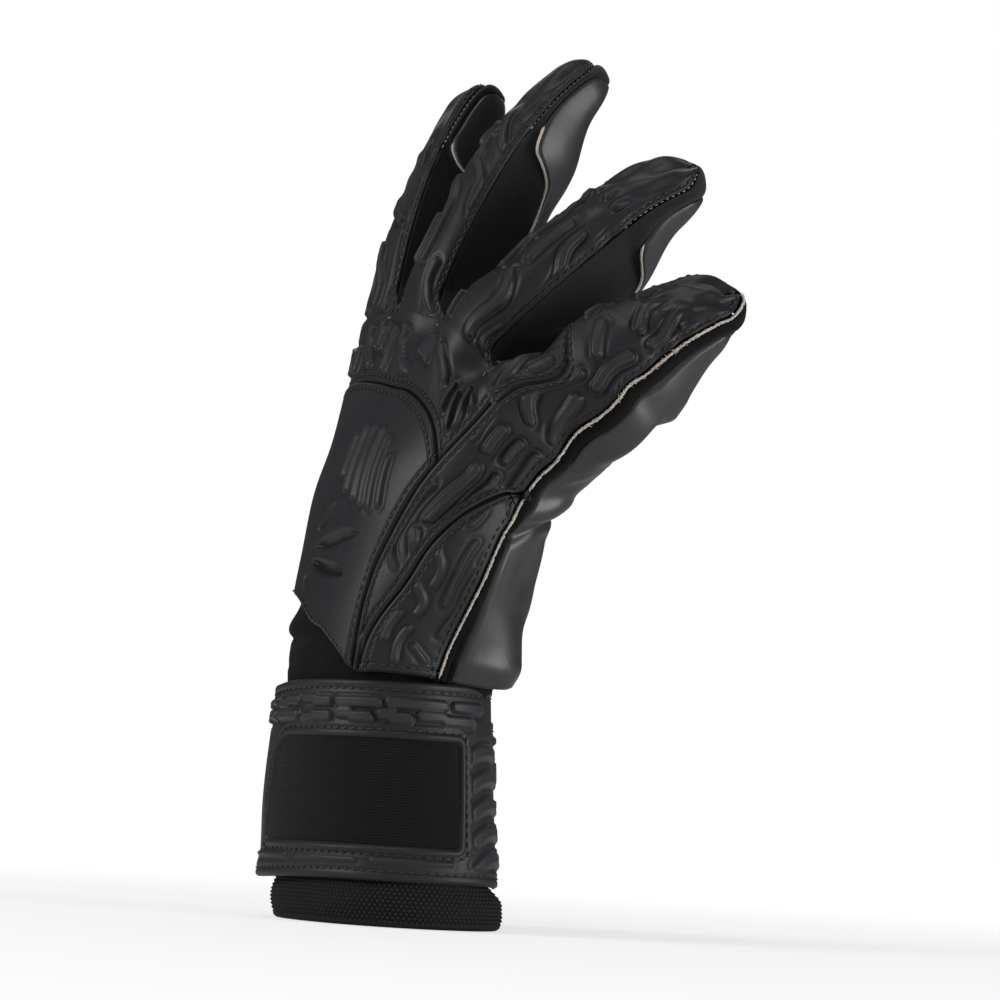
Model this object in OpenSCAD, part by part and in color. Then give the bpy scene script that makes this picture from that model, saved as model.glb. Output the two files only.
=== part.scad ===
// Right-hand goalkeeper glove, standing on its cuff.
// +X is the little-finger side, +Y the palm side, +Z up; the origin is the centre of the cuff's hem.

/* [Cuff] */
// Half width of the hem band, across the hand
cuff_half_width = 42; // [36:0.5:50]
// Half depth of the hem band, back to palm
cuff_half_depth = 33.5; // [28:0.5:42]
// Height of the hem band
hem_height = 14; // [10:0.5:20]
// Wall of the hem band
hem_wall = 3; // [2.8:0.1:4]
// Wall of the knitted wrist sleeve
sleeve_wall = 1.5; // [0.8:0.1:3]
// How far the wrist sleeve runs up inside the hand
sleeve_tuck = 10; // [5:0.5:14]

/* [Strap] */
// Height of the strap
strap_height = 58; // [44:0.5:60]
// Thickness of the strap
strap_thick = 3; // [2:0.1:3.2]
// Half width of the strap at its lower edge
strap_half_width = 43; // [42:0.5:50]
// Half depth of the strap at its lower edge
strap_half_depth = 36; // [34:0.5:42]
// Half width of the strap at its upper edge
strap_top_half_width = 38.5; // [34:0.5:44]
// Half depth of the strap at its upper edge
strap_top_half_depth = 31; // [27:0.5:36]
// Height of the free tail of the strap
tail_height = 46; // [30:0.5:54]
// Angle round the wrist that the tail covers
tail_sweep = 106; // [80:1:116]
// Thickness of the hook patch and of the loop patch
touch_thick = 0.8; // [0.6:0.1:1.2]
// Height of the knitted window in the strap
window_height = 33; // [20:0.5:40]
// Angle round the wrist that the window covers
window_sweep = 130; // [60:1:140]
// Depth of the window's recess
window_recess = 1.2; // [0.8:0.1:1.8]

/* [Hand] */
// Height of the wrist joint above the hem
wrist_height = 86; // [84:0.5:100]
// Swing of the hand at the wrist, each way
wrist_swing = 12; // [5:1:14]
// Lean of the hand towards the palm
hand_lean = 11.5; // [5:0.5:16]
// Lean of the hand towards the little finger
hand_side = 1.5; // [-4:0.5:6]
// Half width of the hand at the wrist
wrist_half_width = 38; // [36:0.5:44]
// Half width at the heel of the palm
heel_half_width = 46; // [42:0.5:52]
// Half width at the middle of the palm
palm_half_width = 49; // [45:0.5:54]
// Half width where the fingers spread
span_half_width = 54; // [52:0.5:58]
// Half width at the knuckles
knuckle_half_width = 57; // [55:0.5:60]
// Half depth of the hand at the wrist
wrist_half_depth = 31; // [29:0.5:36]
// Half depth at the heel of the palm
heel_half_depth = 31.5; // [28:0.5:36]
// Half depth at the middle of the palm
palm_half_depth = 29; // [26:0.5:33]
// Half depth where the fingers spread
span_half_depth = 23; // [22:0.5:28]
// Half depth at the knuckles
knuckle_half_depth = 17; // [16:0.5:20]
// Rise of the knuckle dome above the back of the hand
dome_rise = 2.5; // [0:0.1:5]

/* [Index finger] */
// Distance of the finger's base from the middle of the hand
index_place = -40.5; // [-42:0.5:-40]
// Height of the finger's base above the wrist joint
index_level = 112; // [106:0.5:116]
// Length of the finger
index_length = 97; // [80:0.5:110]
// Half width at the base
index_half_width = 13; // [11:0.1:13.2]
// Bend at the knuckle as worn in by the pre-curved cut
index_bend = -4; // [-8:1:10]
// Half depth on the palm side, at the base
index_pad = 15; // [13:0.1:16.5]

/* [Middle finger] */
// Distance of the finger's base from the middle of the hand
middle_place = -11.5; // [-12:0.5:-10]
// Height of the finger's base above the wrist joint
middle_level = 111; // [106:0.5:116]
// Length of the finger
middle_length = 107; // [90:0.5:120]
// Half width at the base
middle_half_width = 13; // [11:0.1:13.2]
// Bend at the knuckle as worn in by the pre-curved cut
middle_bend = 4; // [0:1:12]
// Half depth on the palm side, at the base
middle_pad = 16.5; // [14.5:0.1:18.0]

/* [Ring finger] */
// Distance of the finger's base from the middle of the hand
ring_place = 19.5; // [19:0.5:21]
// Height of the finger's base above the wrist joint
ring_level = 96; // [92:0.5:100]
// Length of the finger
ring_length = 96; // [80:0.5:108]
// Half width at the base
ring_half_width = 13.8; // [12:0.1:14.2]
// Bend at the knuckle as worn in by the pre-curved cut
ring_bend = 15; // [8:1:20]
// Half depth on the palm side, at the base
ring_pad = 18; // [16:0.1:19.5]

/* [Little finger] */
// Distance of the finger's base from the middle of the hand
little_place = 47.5; // [47:0.5:49]
// Height of the finger's base above the wrist joint
little_level = 76; // [72:0.5:80]
// Length of the finger
little_length = 82; // [66:0.5:92]
// Half width at the base
little_half_width = 14; // [12:0.1:14.4]
// Bend at the knuckle as worn in by the pre-curved cut
little_bend = 25; // [16:1:30]
// Half depth on the palm side, at the base
little_pad = 19.5; // [17.5:0.1:21.0]

/* [All fingers] */
// Half depth of a finger on its back side
back_half_depth = 13.5; // [12:0.1:15]
// Half depth of a finger on its palm side, at the tip
tip_half_depth = 12; // [10:0.1:13]
// How much narrower a finger's half width is at its tip
finger_taper = 0.8; // [0:0.1:2]
// Length of a fingertip's rounding
tip_round = 14; // [8:0.5:20]
// Depth of the knuckle axis under the back of the finger
knuckle_depth = 9; // [7:0.5:11]
// Furthest bend at a knuckle, from straight
full_bend = 55; // [40:1:60]
// Furthest bend backwards at a knuckle, from straight
back_bend = 10; // [5:1:12]

/* [Thumb] */
// Free length of the thumb
thumb_length = 62; // [50:0.5:72]
// Half width of the thumb
thumb_half_width = 14; // [12:0.1:15]
// Half depth of the thumb
thumb_half_depth = 13.5; // [12:0.1:14.5]
// Length of the soft root between the hand and the thumb
thumb_root = 36; // [32:0.5:40]

/* [Layers] */
// Thickness of the latex and foam panels
panel_thick = 3; // [2:0.1:3.4]
// Thickness of the lining
lining_thick = 1.2; // [0.8:0.1:1.6]
// Clear space between neighbouring panels
seam_gap = 0.3; // [0.2:0.05:0.5]
// Clear space between a panel and its lining
layer_gap = 0.8; // [0.7:0.05:0.95]
// Thickness of the cord in the side seam
seam_cord = 1.6; // [1.2:0.1:2]

/* [Hidden] */

charcoal = [0.18, 0.18, 0.19];
graphite = [0.24, 0.24, 0.25];
knit_black = [0.07, 0.07, 0.08];
latex_grey = [0.30, 0.30, 0.31];
cream = [0.78, 0.74, 0.69];

// Vectors and curves
function unit(v) = v / norm(v);
function turn(v, k, a) = v * cos(a) + cross(k, v) * sin(a) + k * (k * v) * (1 - cos(a));
function signed_pow(c, e) = sign(c) * pow(abs(c), e);
function mix(a, b, f) = a + (b - a) * f;
function clamp(x, lo, hi) = min(max(x, lo), hi);
function ease(x) = let (c = clamp(x, 0, 1)) c * c * (3 - 2 * c);

// Depths of the layers under the outer surface
lining_depth = panel_thick + layer_gap;
lining_inner = lining_depth + lining_thick;

// Levels of the strap
strap_bottom = hem_height + seam_gap;
strap_top = strap_bottom + strap_height;

// Frame of the hand: side, along and out of the back
wrist_drift = [-5, -4];
wrist = [wrist_drift.x, wrist_drift.y, wrist_height];
hand_along = unit([sin(hand_side), sin(hand_lean), cos(hand_lean)]);
hand_across = unit([1, 0, 0] - hand_along * hand_along.x);
hand_out = cross(hand_across, hand_along);
hand_round = 2.7;

// Sections of the hand at five levels above the wrist joint
level = [0, 25, 50, 75, 112];
function table(values) = [for (k = [0 : len(level) - 1]) [level[k], values[k]]];
half_width = table([wrist_half_width, heel_half_width, palm_half_width, span_half_width, knuckle_half_width]);
half_depth = table([wrist_half_depth, heel_half_depth, palm_half_depth, span_half_depth, knuckle_half_depth]);
drift_across = table([2, 3, 3, 5, 1]);
drift_out = table([-1, -2, 0, 1, 2]);

function hand_point(u, t, depth) =
    let (a = lookup(t, half_width) - depth, b = lookup(t, half_depth) - depth)
    wrist + hand_along * t
    + hand_across * (lookup(t, drift_across) + a * signed_pow(cos(u), 2 / hand_round))
    + hand_out * (lookup(t, drift_out) + b * signed_pow(sin(u), 2 / hand_round));

// Height of the back of the hand over the hand's axis
function back_height(x, t, depth = 0) =
    let (r = clamp(abs(x - lookup(t, drift_across)) / (lookup(t, half_width) - depth), 0, 0.97))
    lookup(t, drift_out) + (lookup(t, half_depth) - depth) * pow(1 - pow(r, hand_round), 1 / hand_round);

// Fingers in order: place, level, spread, bend, length, half width, pad
fingers = [
    [index_place, index_level, -4, index_bend, index_length, index_half_width, index_pad],
    [middle_place, middle_level, 4, middle_bend, middle_length, middle_half_width, middle_pad],
    [ring_place, ring_level, 22, ring_bend, ring_length, ring_half_width, ring_pad],
    [little_place, little_level, 32, little_bend, little_length, little_half_width, little_pad]
];
// Bend along a finger: steady part and part that grows towards the tip
steady_curl = 18;
tip_curl = 24;

function finger_along(f) = turn(hand_along, hand_out, -f[2]);
function finger_across(f) = turn(hand_across, hand_out, -f[2]);
function knuckle_axis_point(f) =
    wrist + hand_along * f[1] + hand_across * f[0] + hand_out * (back_height(f[0], f[1]) - knuckle_depth);

// Top edge of the hand: the knuckle line, less the room that the fingers need to bend
knuckle_line = concat(
    [[index_place - 30, index_level]],
    [for (f = fingers) [f[0], f[1]]],
    [[little_place + 15, little_level - 10]]
);
knuckle_room = knuckle_depth * sin(back_bend) + 2.5;
pad_line = [for (f = fingers) [f[0], (back_half_depth + f[6] - knuckle_depth) * sin(full_bend) + 2]];
function top_place(u) = lookup(112, drift_across) + knuckle_half_width * signed_pow(cos(u), 2 / hand_round);
function top_gap(u) = mix(knuckle_room, lookup(top_place(u), pad_line), ease((0.3 - sin(u)) / 0.4));
function top_level(u) = lookup(top_place(u), knuckle_line) - top_gap(u);
// Lower edge of the hand: level over the strap, with room to swing, and cut higher over the thumb side of the back
back_cut = 19;
hem_level = strap_top + max(wrist_half_width, wrist_half_depth) * sin(wrist_swing) * 0.85 + 0.6;
function hem_line(u) =
    (hem_level - wrist_height - wrist_half_depth * signed_pow(sin(u), 2 / hand_round) * hand_out.z) / hand_along.z;
function low_level(u) = hem_line(u) + back_cut * ease((u - 55) / 55) * ease((182 - u) / 10);
function panel_level(u, v) = mix(low_level(u), top_level(u), v);

// A limb is a finger or the thumb: start, along, across, out, bend, length, half widths, half depths
curl_steps = 24;
function finger_limb(f) =
    let (across = finger_across(f), out = turn(hand_out, across, -f[3]))
    [
        knuckle_axis_point(f) - out * (back_half_depth - knuckle_depth),
        finger_along(f), across, hand_out, f[3], f[4], f[5], f[5] - finger_taper,
        back_half_depth, f[6], tip_half_depth, steady_curl, tip_curl
    ];
function curl(limb, s) = let (r = s / limb[5]) limb[4] + limb[11] * r + limb[12] * pow(r, 3);
function limb_dir(limb, s) = turn(limb[1], limb[2], -curl(limb, s));
function limb_out(limb, s) = turn(limb[3], limb[2], -curl(limb, s));
function spine(limb) =
    let (step = limb[5] / curl_steps)
    [for (k = 0, p = limb[0]; k <= curl_steps; p = p + limb_dir(limb, (k + 0.5) * step) * step, k = k + 1) p];
function on_spine(points, limb, s) =
    let (x = clamp(s / limb[5] * curl_steps, 0, curl_steps - 0.001), k = floor(x))
    mix(points[k], points[k + 1], x - k);
function tip_factor(s, length) =
    s < length - tip_round ? 1 : mix(0.05, 1, sqrt(max(0, 1 - pow((s - length + tip_round) / tip_round, 2))));
finger_round = 2.6;
function limb_point(limb, points, u, v, depth) =
    let (
        length = limb[5] - depth,
        s = v * length,
        w = tip_factor(s, length),
        r = s / limb[5],
        a = (mix(limb[6], limb[7], r) - depth) * w,
        b = (sin(u) > 0 ? mix(limb[8], limb[10], r) : mix(limb[9], limb[10], r)) * w - depth * w
    )
    on_spine(points, limb, s) + limb[2] * a * signed_pow(cos(u), 2 / finger_round)
    + limb_out(limb, s) * b * signed_pow(sin(u), 2 / finger_round);

// A closed shell between two grids of points; rows run along the limb, columns round it
function quad(a, b, c, d) = [[a, b, c], [a, c, d]];
module shell(outer, inner, ring = false) {
    rows = len(outer);
    cols = len(outer[0]);
    last = ring ? cols - 1 : cols - 2;
    function o(j, i) = j * cols + i % cols;
    function n(j, i) = rows * cols + o(j, i);
    top = rows - 1;
    side = cols - 1;
    polyhedron(
        points = concat([for (r = outer) each r], [for (r = inner) each r]),
        faces = concat(
            [for (j = [0 : top - 1], i = [0 : last]) each quad(o(j, i), o(j, i + 1), o(j + 1, i + 1), o(j + 1, i))],
            [for (j = [0 : top - 1], i = [0 : last]) each quad(n(j, i), n(j + 1, i), n(j + 1, i + 1), n(j, i + 1))],
            [for (i = [0 : last]) each quad(o(0, i + 1), o(0, i), n(0, i), n(0, i + 1))],
            [for (i = [0 : last]) each quad(o(top, i), o(top, i + 1), n(top, i + 1), n(top, i))],
            ring ? [] : [for (j = [0 : top - 1]) each quad(o(j, 0), o(j + 1, 0), n(j + 1, 0), n(j, 0))],
            ring ? [] : [for (j = [0 : top - 1])
                each quad(o(j + 1, side), o(j, side), n(j, side), n(j + 1, side))]
        ),
        convexity = 8
    );
}

// Grid of points from a function of u and v, with the limits of u given for each v
function grid(point, low, high, start, end, cols, rows, bias = 1) =
    [for (j = [0 : rows]) let (v = mix(start, end, 1 - pow(1 - j / rows, bias)))
        [for (i = [0 : cols]) point(mix(low(v), high(v), i / cols), v)]];

// Panels of the hand, v from the wrist edge to the knuckle line
module hand_panel(low, high, start, end, cols, rows, from = 0, to = panel_thick, rise = 0) {
    function at(depth, swell) = function (u, v)
        let (f = clamp((u - low(v)) / (high(v) - low(v)), 0, 1), g = clamp((v - start) / (end - start), 0, 1))
        hand_point(u, panel_level(u, v), depth - swell * sin(180 * f) * sin(180 * g));
    shell(grid(at(from, rise), low, high, start, end, cols, rows), grid(at(to, 0), low, high, start, end, cols, rows));
}

// Seams of the back of the hand: angle round the hand against v
side_seam = [[0, 4], [0.6, 1], [1, -16]];
band_seam = [[0, 57], [0.34, 66], [0.57, 58], [0.75, 49], [1, 37]];
lower_seam = [[0, 53], [0.17, 46], [0.42, 36], [0.55, 23], [0.68, 2]];
function back_low(v) = lookup(v, side_seam);
function seam_band(v) = lookup(v, band_seam);
function seam_lower(v) = lookup(v, lower_seam);
back_high = 172;
palm_low_edge = 186;
edge_sweep = 14;
gap_angle = 0.7;
side_top = 0.66;
dome_bottom = 0.33;
dome_top = 0.81;
gap_rise = seam_gap / 100;

module thumb_tunnel() {
    grow = seam_gap;
    multmatrix(thumb_matrix())
        translate([0, 0, -thumb_root - 6])
            linear_extrude(height = thumb_root + 6)
                polygon([for (k = [0 : 23]) [
                    (thumb_half_width + grow) * signed_pow(cos(k * 15), 2 / finger_round),
                    (thumb_half_depth + grow) * signed_pow(sin(k * 15), 2 / finger_round)
                ]]);
}

module backhand_upper() {
    color(charcoal)
        hand_panel(function (v) seam_band(v) + gap_angle, function (v) back_high, dome_top + gap_rise, 1, 10, 3);
}

module knuckle_dome() {
    color(graphite)
        hand_panel(function (v) seam_band(v) + gap_angle, function (v) back_high,
            dome_bottom + gap_rise, dome_top - gap_rise, 10, 5, 0, panel_thick, dome_rise);
}

module backhand_lower() {
    color(charcoal)
        difference() {
            hand_panel(function (v) seam_band(v) + gap_angle, function (v) back_high, 0, dome_bottom - gap_rise, 10, 5);
            thumb_tunnel();
        }
}

module backhand_band() {
    color(charcoal)
        hand_panel(function (v) max(seam_lower(v), back_low(v)) + gap_angle, function (v) seam_band(v) - gap_angle,
            0.02, 1, 6, 12);
}

module backhand_side() {
    color(charcoal)
        hand_panel(function (v) back_low(v) + gap_angle, function (v) seam_lower(v) - gap_angle, 0, side_top, 5, 8);
}

module palm_panel() {
    color(latex_grey)
        difference() {
            hand_panel(function (v) palm_low_edge, function (v) 360 + back_low(v) - edge_sweep, 0, 1, 14, 8);
            thumb_tunnel();
        }
}

module little_edge_band() {
    color(knit_black)
        hand_panel(function (v) 360 + back_low(v) - edge_sweep + gap_angle * 2,
            function (v) 360 + back_low(v) - gap_angle, 0, 1, 2, 8);
}

module thumb_edge_band() {
    color(knit_black)
        difference() {
            hand_panel(function (v) back_high + gap_angle * 2, function (v) palm_low_edge - gap_angle * 2, 0, 1, 2, 8);
            thumb_tunnel();
        }
}

module hand_lining(low, high) {
    difference() {
        hand_panel(function (v) low, function (v) high, 0.02, 0.7, 18, 6, lining_depth, lining_inner);
        thumb_tunnel();
    }
}

module backhand_lining() {
    color(knit_black) hand_lining(2, 178);
}

module palm_lining() {
    color(knit_black) hand_lining(palm_low_edge + 2 * edge_sweep, 358);
}

// The raw edge of the side seam, laid along the little-finger side of the back
module side_seam_cord() {
    steps = 14;
    function ring_at(v, r) = [for (k = [0 : 3])
        hand_point(back_low(v) + r * sin(k * 90), panel_level(back_low(v), v),
            -r * cos(k * 90) - seam_cord / 2 - seam_gap)];
    rings = [for (j = [0 : steps]) ring_at(j / steps, seam_cord / 2)];
    color(cream)
        polyhedron(
            points = [for (r = rings) each r],
            faces = concat(
                [for (j = [0 : steps - 1], i = [0 : 3])
                    each quad(j * 4 + i, j * 4 + (i + 1) % 4, j * 4 + 4 + (i + 1) % 4, j * 4 + 4 + i)],
                quad(3, 2, 1, 0),
                quad(steps * 4, steps * 4 + 1, steps * 4 + 2, steps * 4 + 3)
            )
        );
}

// Cuff: a straight hem, and the strap's surface drawn in towards the wrist
cuff_round = 2.2;
function oval(u, a, b) = [a * signed_pow(cos(u), 2 / cuff_round), -b * signed_pow(sin(u), 2 / cuff_round)];
function hem_point(u, z, depth) = let (p = oval(u, cuff_half_width - depth, cuff_half_depth - depth)) [p.x, p.y, z];
function strap_point(u, z, depth) =
    let (
        f = clamp((z - strap_bottom) / strap_height, 0, 1),
        p = oval(u, mix(strap_half_width, strap_top_half_width, f) - depth,
            mix(strap_half_depth, strap_top_half_depth, f) - depth)
    )
    [p.x + wrist_drift.x * f, p.y + wrist_drift.y * f, z];
function hem_outline(depth) = [for (k = [0 : 47]) let (p = hem_point(k * 7.5, 0, depth)) [p.x, p.y]];

module cuff_hem() {
    color(knit_black)
        linear_extrude(height = hem_height)
            difference() {
                polygon(hem_outline(0));
                polygon(hem_outline(hem_wall));
            }
}

sleeve_depth = max(hem_wall, strap_thick) + seam_gap;
module wrist_sleeve() {
    hand_depth = lining_inner + 2 * layer_gap;
    function ring_at(extra) = concat(
        [for (z = [2, hem_height]) [for (k = [0 : 35]) hem_point(k * 10, z, sleeve_depth + extra)]],
        [for (z = [mix(strap_bottom, strap_top, 0.5), strap_top])
            [for (k = [0 : 35]) strap_point(k * 10, z, sleeve_depth + extra)]],
        [for (rise = [-1.5, sleeve_tuck + 6])
            [for (k = [0 : 35]) hand_point(k * 10, hem_line(k * 10) + rise, hand_depth + extra)]]
    );
    color(knit_black) shell(ring_at(0), ring_at(sleeve_wall), true);
}

// The strap: a fixed wrap over the back, and a tail that closes over the palm side
hinge_angle = -46;
strap_end = 360 + hinge_angle - tail_sweep - 4;
window_middle = 66;
window_bottom = strap_bottom + (strap_height - window_height) / 2 - 2;
module strap_piece(low, high, bottom, height, from, to, cols) {
    function at(depth) = function (u, z) strap_point(u, z, depth);
    shell(
        grid(at(from), function (z) low, function (z) high, bottom, bottom + height, cols, 3),
        grid(at(to), function (z) low, function (z) high, bottom, bottom + height, cols, 3)
    );
}

module strap_band() {
    color(graphite)
        difference() {
            strap_piece(hinge_angle, strap_end, strap_bottom, strap_height, 0, strap_thick, 26);
            strap_piece(window_middle - window_sweep / 2, window_middle + window_sweep / 2,
                window_bottom, window_height, -2, window_recess, 16);
        }
}

module strap_window() {
    inset = seam_gap / cuff_half_width * 60;
    color(knit_black)
        strap_piece(window_middle - window_sweep / 2 + inset, window_middle + window_sweep / 2 - inset,
            window_bottom + seam_gap, window_height - 2 * seam_gap, 0.3, window_recess - seam_gap, 16);
}

loop_outer = sleeve_depth - seam_gap - touch_thick;
hook_outer = loop_outer - seam_gap - touch_thick;
tail_outer = hook_outer - seam_gap - strap_thick;
tail_bottom = strap_bottom + (strap_height - tail_height) / 2;
tail_far = hinge_angle - tail_sweep;
module loop_patch() {
    color(knit_black)
        strap_piece(tail_far + 4, tail_far + 70, tail_bottom + 4, tail_height - 8, loop_outer,
            loop_outer + touch_thick, 8);
}

module strap_tail() {
    color(graphite)
        strap_piece(tail_far, hinge_angle - gap_angle, tail_bottom, tail_height, tail_outer,
            tail_outer + strap_thick, 18);
}

module hook_patch() {
    color(knit_black)
        strap_piece(tail_far + 4, tail_far + 50, tail_bottom + 4, tail_height - 8, hook_outer,
            hook_outer + touch_thick, 6);
}

// Finger panels: the back runs between its two seams, the palm wraps the pad and closes round the tip
seam_low = [40, 40, 40, -12];
seam_high = [178, 140, 140, 140];
limb_gap = 1.3;
function palm_rise(v) = ease((v - 0.5) / 0.36);
function palm_low(k) = function (v) mix(seam_high[k] > 170 ? seam_high[k] : 200, seam_high[k], palm_rise(v)) + limb_gap;
function palm_high(k) = function (v) 360 + mix(seam_low[k] < 10 ? seam_low[k] : -20, seam_low[k], palm_rise(v)) - limb_gap;

limbs = [for (f = fingers) finger_limb(f)];
spines = [for (l = limbs) spine(l)];

module limb_panel(limb, points, low, high, start, end, cols, rows, from = 0, to = panel_thick) {
    function at(depth) = function (u, v) limb_point(limb, points, u, v, depth);
    shell(
        grid(at(from), low, high, start, end, cols, rows, 1.4),
        grid(at(to), low, high, start, end, cols, rows, 1.4)
    );
}

module finger_back(k) {
    color(charcoal)
        limb_panel(limbs[k], spines[k], function (v) seam_low[k] + limb_gap, function (v) seam_high[k] - limb_gap,
            0, 1, 7, 11);
}

module finger_palm(k) {
    color(latex_grey) limb_panel(limbs[k], spines[k], palm_low(k), palm_high(k), 0, 1, 8, 11);
}

gusset_end = 0.76;
module gusset_outer(k) {
    high = palm_high(k);
    color(knit_black)
        limb_panel(limbs[k], spines[k], function (v) high(v) - 360 + 4 * limb_gap,
            function (v) seam_low[k] - limb_gap, 0, gusset_end, 3, 8);
}

module gusset_inner(k) {
    low = palm_low(k);
    color(knit_black)
        limb_panel(limbs[k], spines[k], function (v) seam_high[k] + limb_gap,
            function (v) low(v) - 4 * limb_gap, 0, gusset_end, 3, 8);
}

// The lining of a finger starts inside the hand, under the knuckle
lining_root = 22;
root_waist = [2.2, 1.5, 1.5, 4.5];
module finger_lining(k) {
    f = fingers[k];
    limb = limbs[k];
    function root(back_reach, pad_reach, depth) = [for (i = [0 : 13]) let (
            u = i * 360 / 14,
            reach = mix(back_reach, pad_reach, (1 - sin(u)) / 2),
            x = f[0] - reach * sin(f[2]),
            t = f[1] - reach * cos(f[2]),
            side = (limb[6] - depth - root_waist[k]) * signed_pow(cos(u), 2 / finger_round),
            swell = ((sin(u) > 0 ? limb[8] : limb[9]) - depth) * signed_pow(sin(u), 2 / finger_round),
            ceiling = back_height(x + side * cos(f[2]), t - side * sin(f[2]), depth + 1 * seam_gap)
        )
        wrist + hand_along * t + hand_across * x + limb[2] * side
        + hand_out * min(back_height(x, t) - back_half_depth + swell, ceiling)];
    function tube(depth) = concat(
        [root(lining_root, lining_root, depth), root(lining_root * 0.35, lining_root * 0.8, depth)],
        [for (j = [0 : 9]) let (v = 1 - pow(1 - j / 9, 1.4))
            [for (i = [0 : 13]) limb_point(limb, spines[k], i * 360 / 14, v, depth)]]
    );
    color(knit_black) shell(tube(lining_depth), tube(lining_inner), true);
}

module index_back() { finger_back(0); }
module index_palm() { finger_palm(0); }
module index_gusset() { gusset_outer(0); }
module index_lining() { finger_lining(0); }
module middle_back() { finger_back(1); }
module middle_palm() { finger_palm(1); }
module middle_gusset_inner() { gusset_inner(1); }
module middle_gusset_outer() { gusset_outer(1); }
module middle_lining() { finger_lining(1); }
module ring_back() { finger_back(2); }
module ring_palm() { finger_palm(2); }
module ring_gusset_inner() { gusset_inner(2); }
module ring_gusset_outer() { gusset_outer(2); }
module ring_lining() { finger_lining(2); }
module little_back() { finger_back(3); }
module little_palm() { finger_palm(3); }
module little_gusset() { gusset_inner(3); }
module little_lining() { finger_lining(3); }

// The thumb leaves the palm side of the hand, its back turned outwards
thumb_level = 42;
thumb_along = unit(hand_across * -0.2 + hand_along * 0.78 - hand_out * 0.6);
thumb_out = unit(-hand_across - thumb_along * (-hand_across * thumb_along));
thumb_across = cross(thumb_along, thumb_out);
thumb_start = wrist + hand_along * thumb_level
    + hand_across * (lookup(thumb_level, drift_across) - lookup(thumb_level, half_width) + 10)
    - hand_out * 10 + thumb_along * thumb_root;
thumb_limb = [
    thumb_start, thumb_along, thumb_across, thumb_out, 0, thumb_length, thumb_half_width,
    thumb_half_width - finger_taper, thumb_half_depth, thumb_half_depth, tip_half_depth, 10, 14
];
thumb_spine = spine(thumb_limb);
function thumb_matrix() = [
    [thumb_across.x, thumb_out.x, thumb_along.x, thumb_start.x],
    [thumb_across.y, thumb_out.y, thumb_along.y, thumb_start.y],
    [thumb_across.z, thumb_out.z, thumb_along.z, thumb_start.z],
    [0, 0, 0, 1]
];

module thumb_back() {
    color(charcoal)
        limb_panel(thumb_limb, thumb_spine, function (v) 20 + limb_gap, function (v) 160 - limb_gap, 0, 1, 8, 9);
}

module thumb_palm() {
    color(latex_grey)
        limb_panel(thumb_limb, thumb_spine, function (v) 160 + limb_gap, function (v) 380 - limb_gap, 0, 1, 10, 9);
}

module thumb_web() {
    function tube(depth) = [for (s = [-thumb_root, -thumb_root / 2, -seam_gap]) [for (i = [0 : 17])
        thumb_start + thumb_along * s
        + thumb_across * (thumb_half_width - depth) * signed_pow(cos(i * 20), 2 / finger_round)
        + thumb_out * (thumb_half_depth - depth) * signed_pow(sin(i * 20), 2 / finger_round)]];
    color(latex_grey) shell(tube(0), tube(lining_thick), true);
}

module thumb_lining() {
    function tube(depth) = [for (j = [0 : 8]) let (v = 1 - pow(1 - j / 8, 1.4))
        [for (i = [0 : 13]) limb_point(thumb_limb, thumb_spine, i * 360 / 14, v, depth)]];
    color(knit_black) shell(tube(lining_depth), tube(lining_inner), true);
}

echo(wrist = wrist, hand_across = hand_across, hand_along = hand_along, hand_out = hand_out);
echo(knuckles = [for (f = fingers) [knuckle_axis_point(f), -finger_across(f)]]);
echo(thumb = [thumb_start, -thumb_across]);
hinge_foot = strap_point(hinge_angle, strap_bottom, tail_outer);
hinge_head = strap_point(hinge_angle, strap_top, tail_outer);
echo(strap = (hinge_foot + hinge_head) / 2, unit(hinge_foot - hinge_head));

cuff_hem();
wrist_sleeve();
strap_band();
strap_window();
loop_patch();
strap_tail();
hook_patch();
backhand_upper();
knuckle_dome();
backhand_lower();
backhand_band();
backhand_side();
palm_panel();
little_edge_band();
thumb_edge_band();
backhand_lining();
palm_lining();
side_seam_cord();
index_back();
index_palm();
index_gusset();
index_lining();
middle_back();
middle_palm();
middle_gusset_inner();
middle_gusset_outer();
middle_lining();
ring_back();
ring_palm();
ring_gusset_inner();
ring_gusset_outer();
ring_lining();
little_back();
little_palm();
little_gusset();
little_lining();
thumb_back();
thumb_palm();
thumb_web();
thumb_lining();
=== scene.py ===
"""Right-hand goalkeeper glove: the look of every piece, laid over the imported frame."""

import math
from functools import partial

import bmesh
import bpy
import numpy as np
from bpy.props import FloatProperty, FloatVectorProperty, PointerProperty
from mathutils import Matrix, Quaternion, Vector


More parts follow.
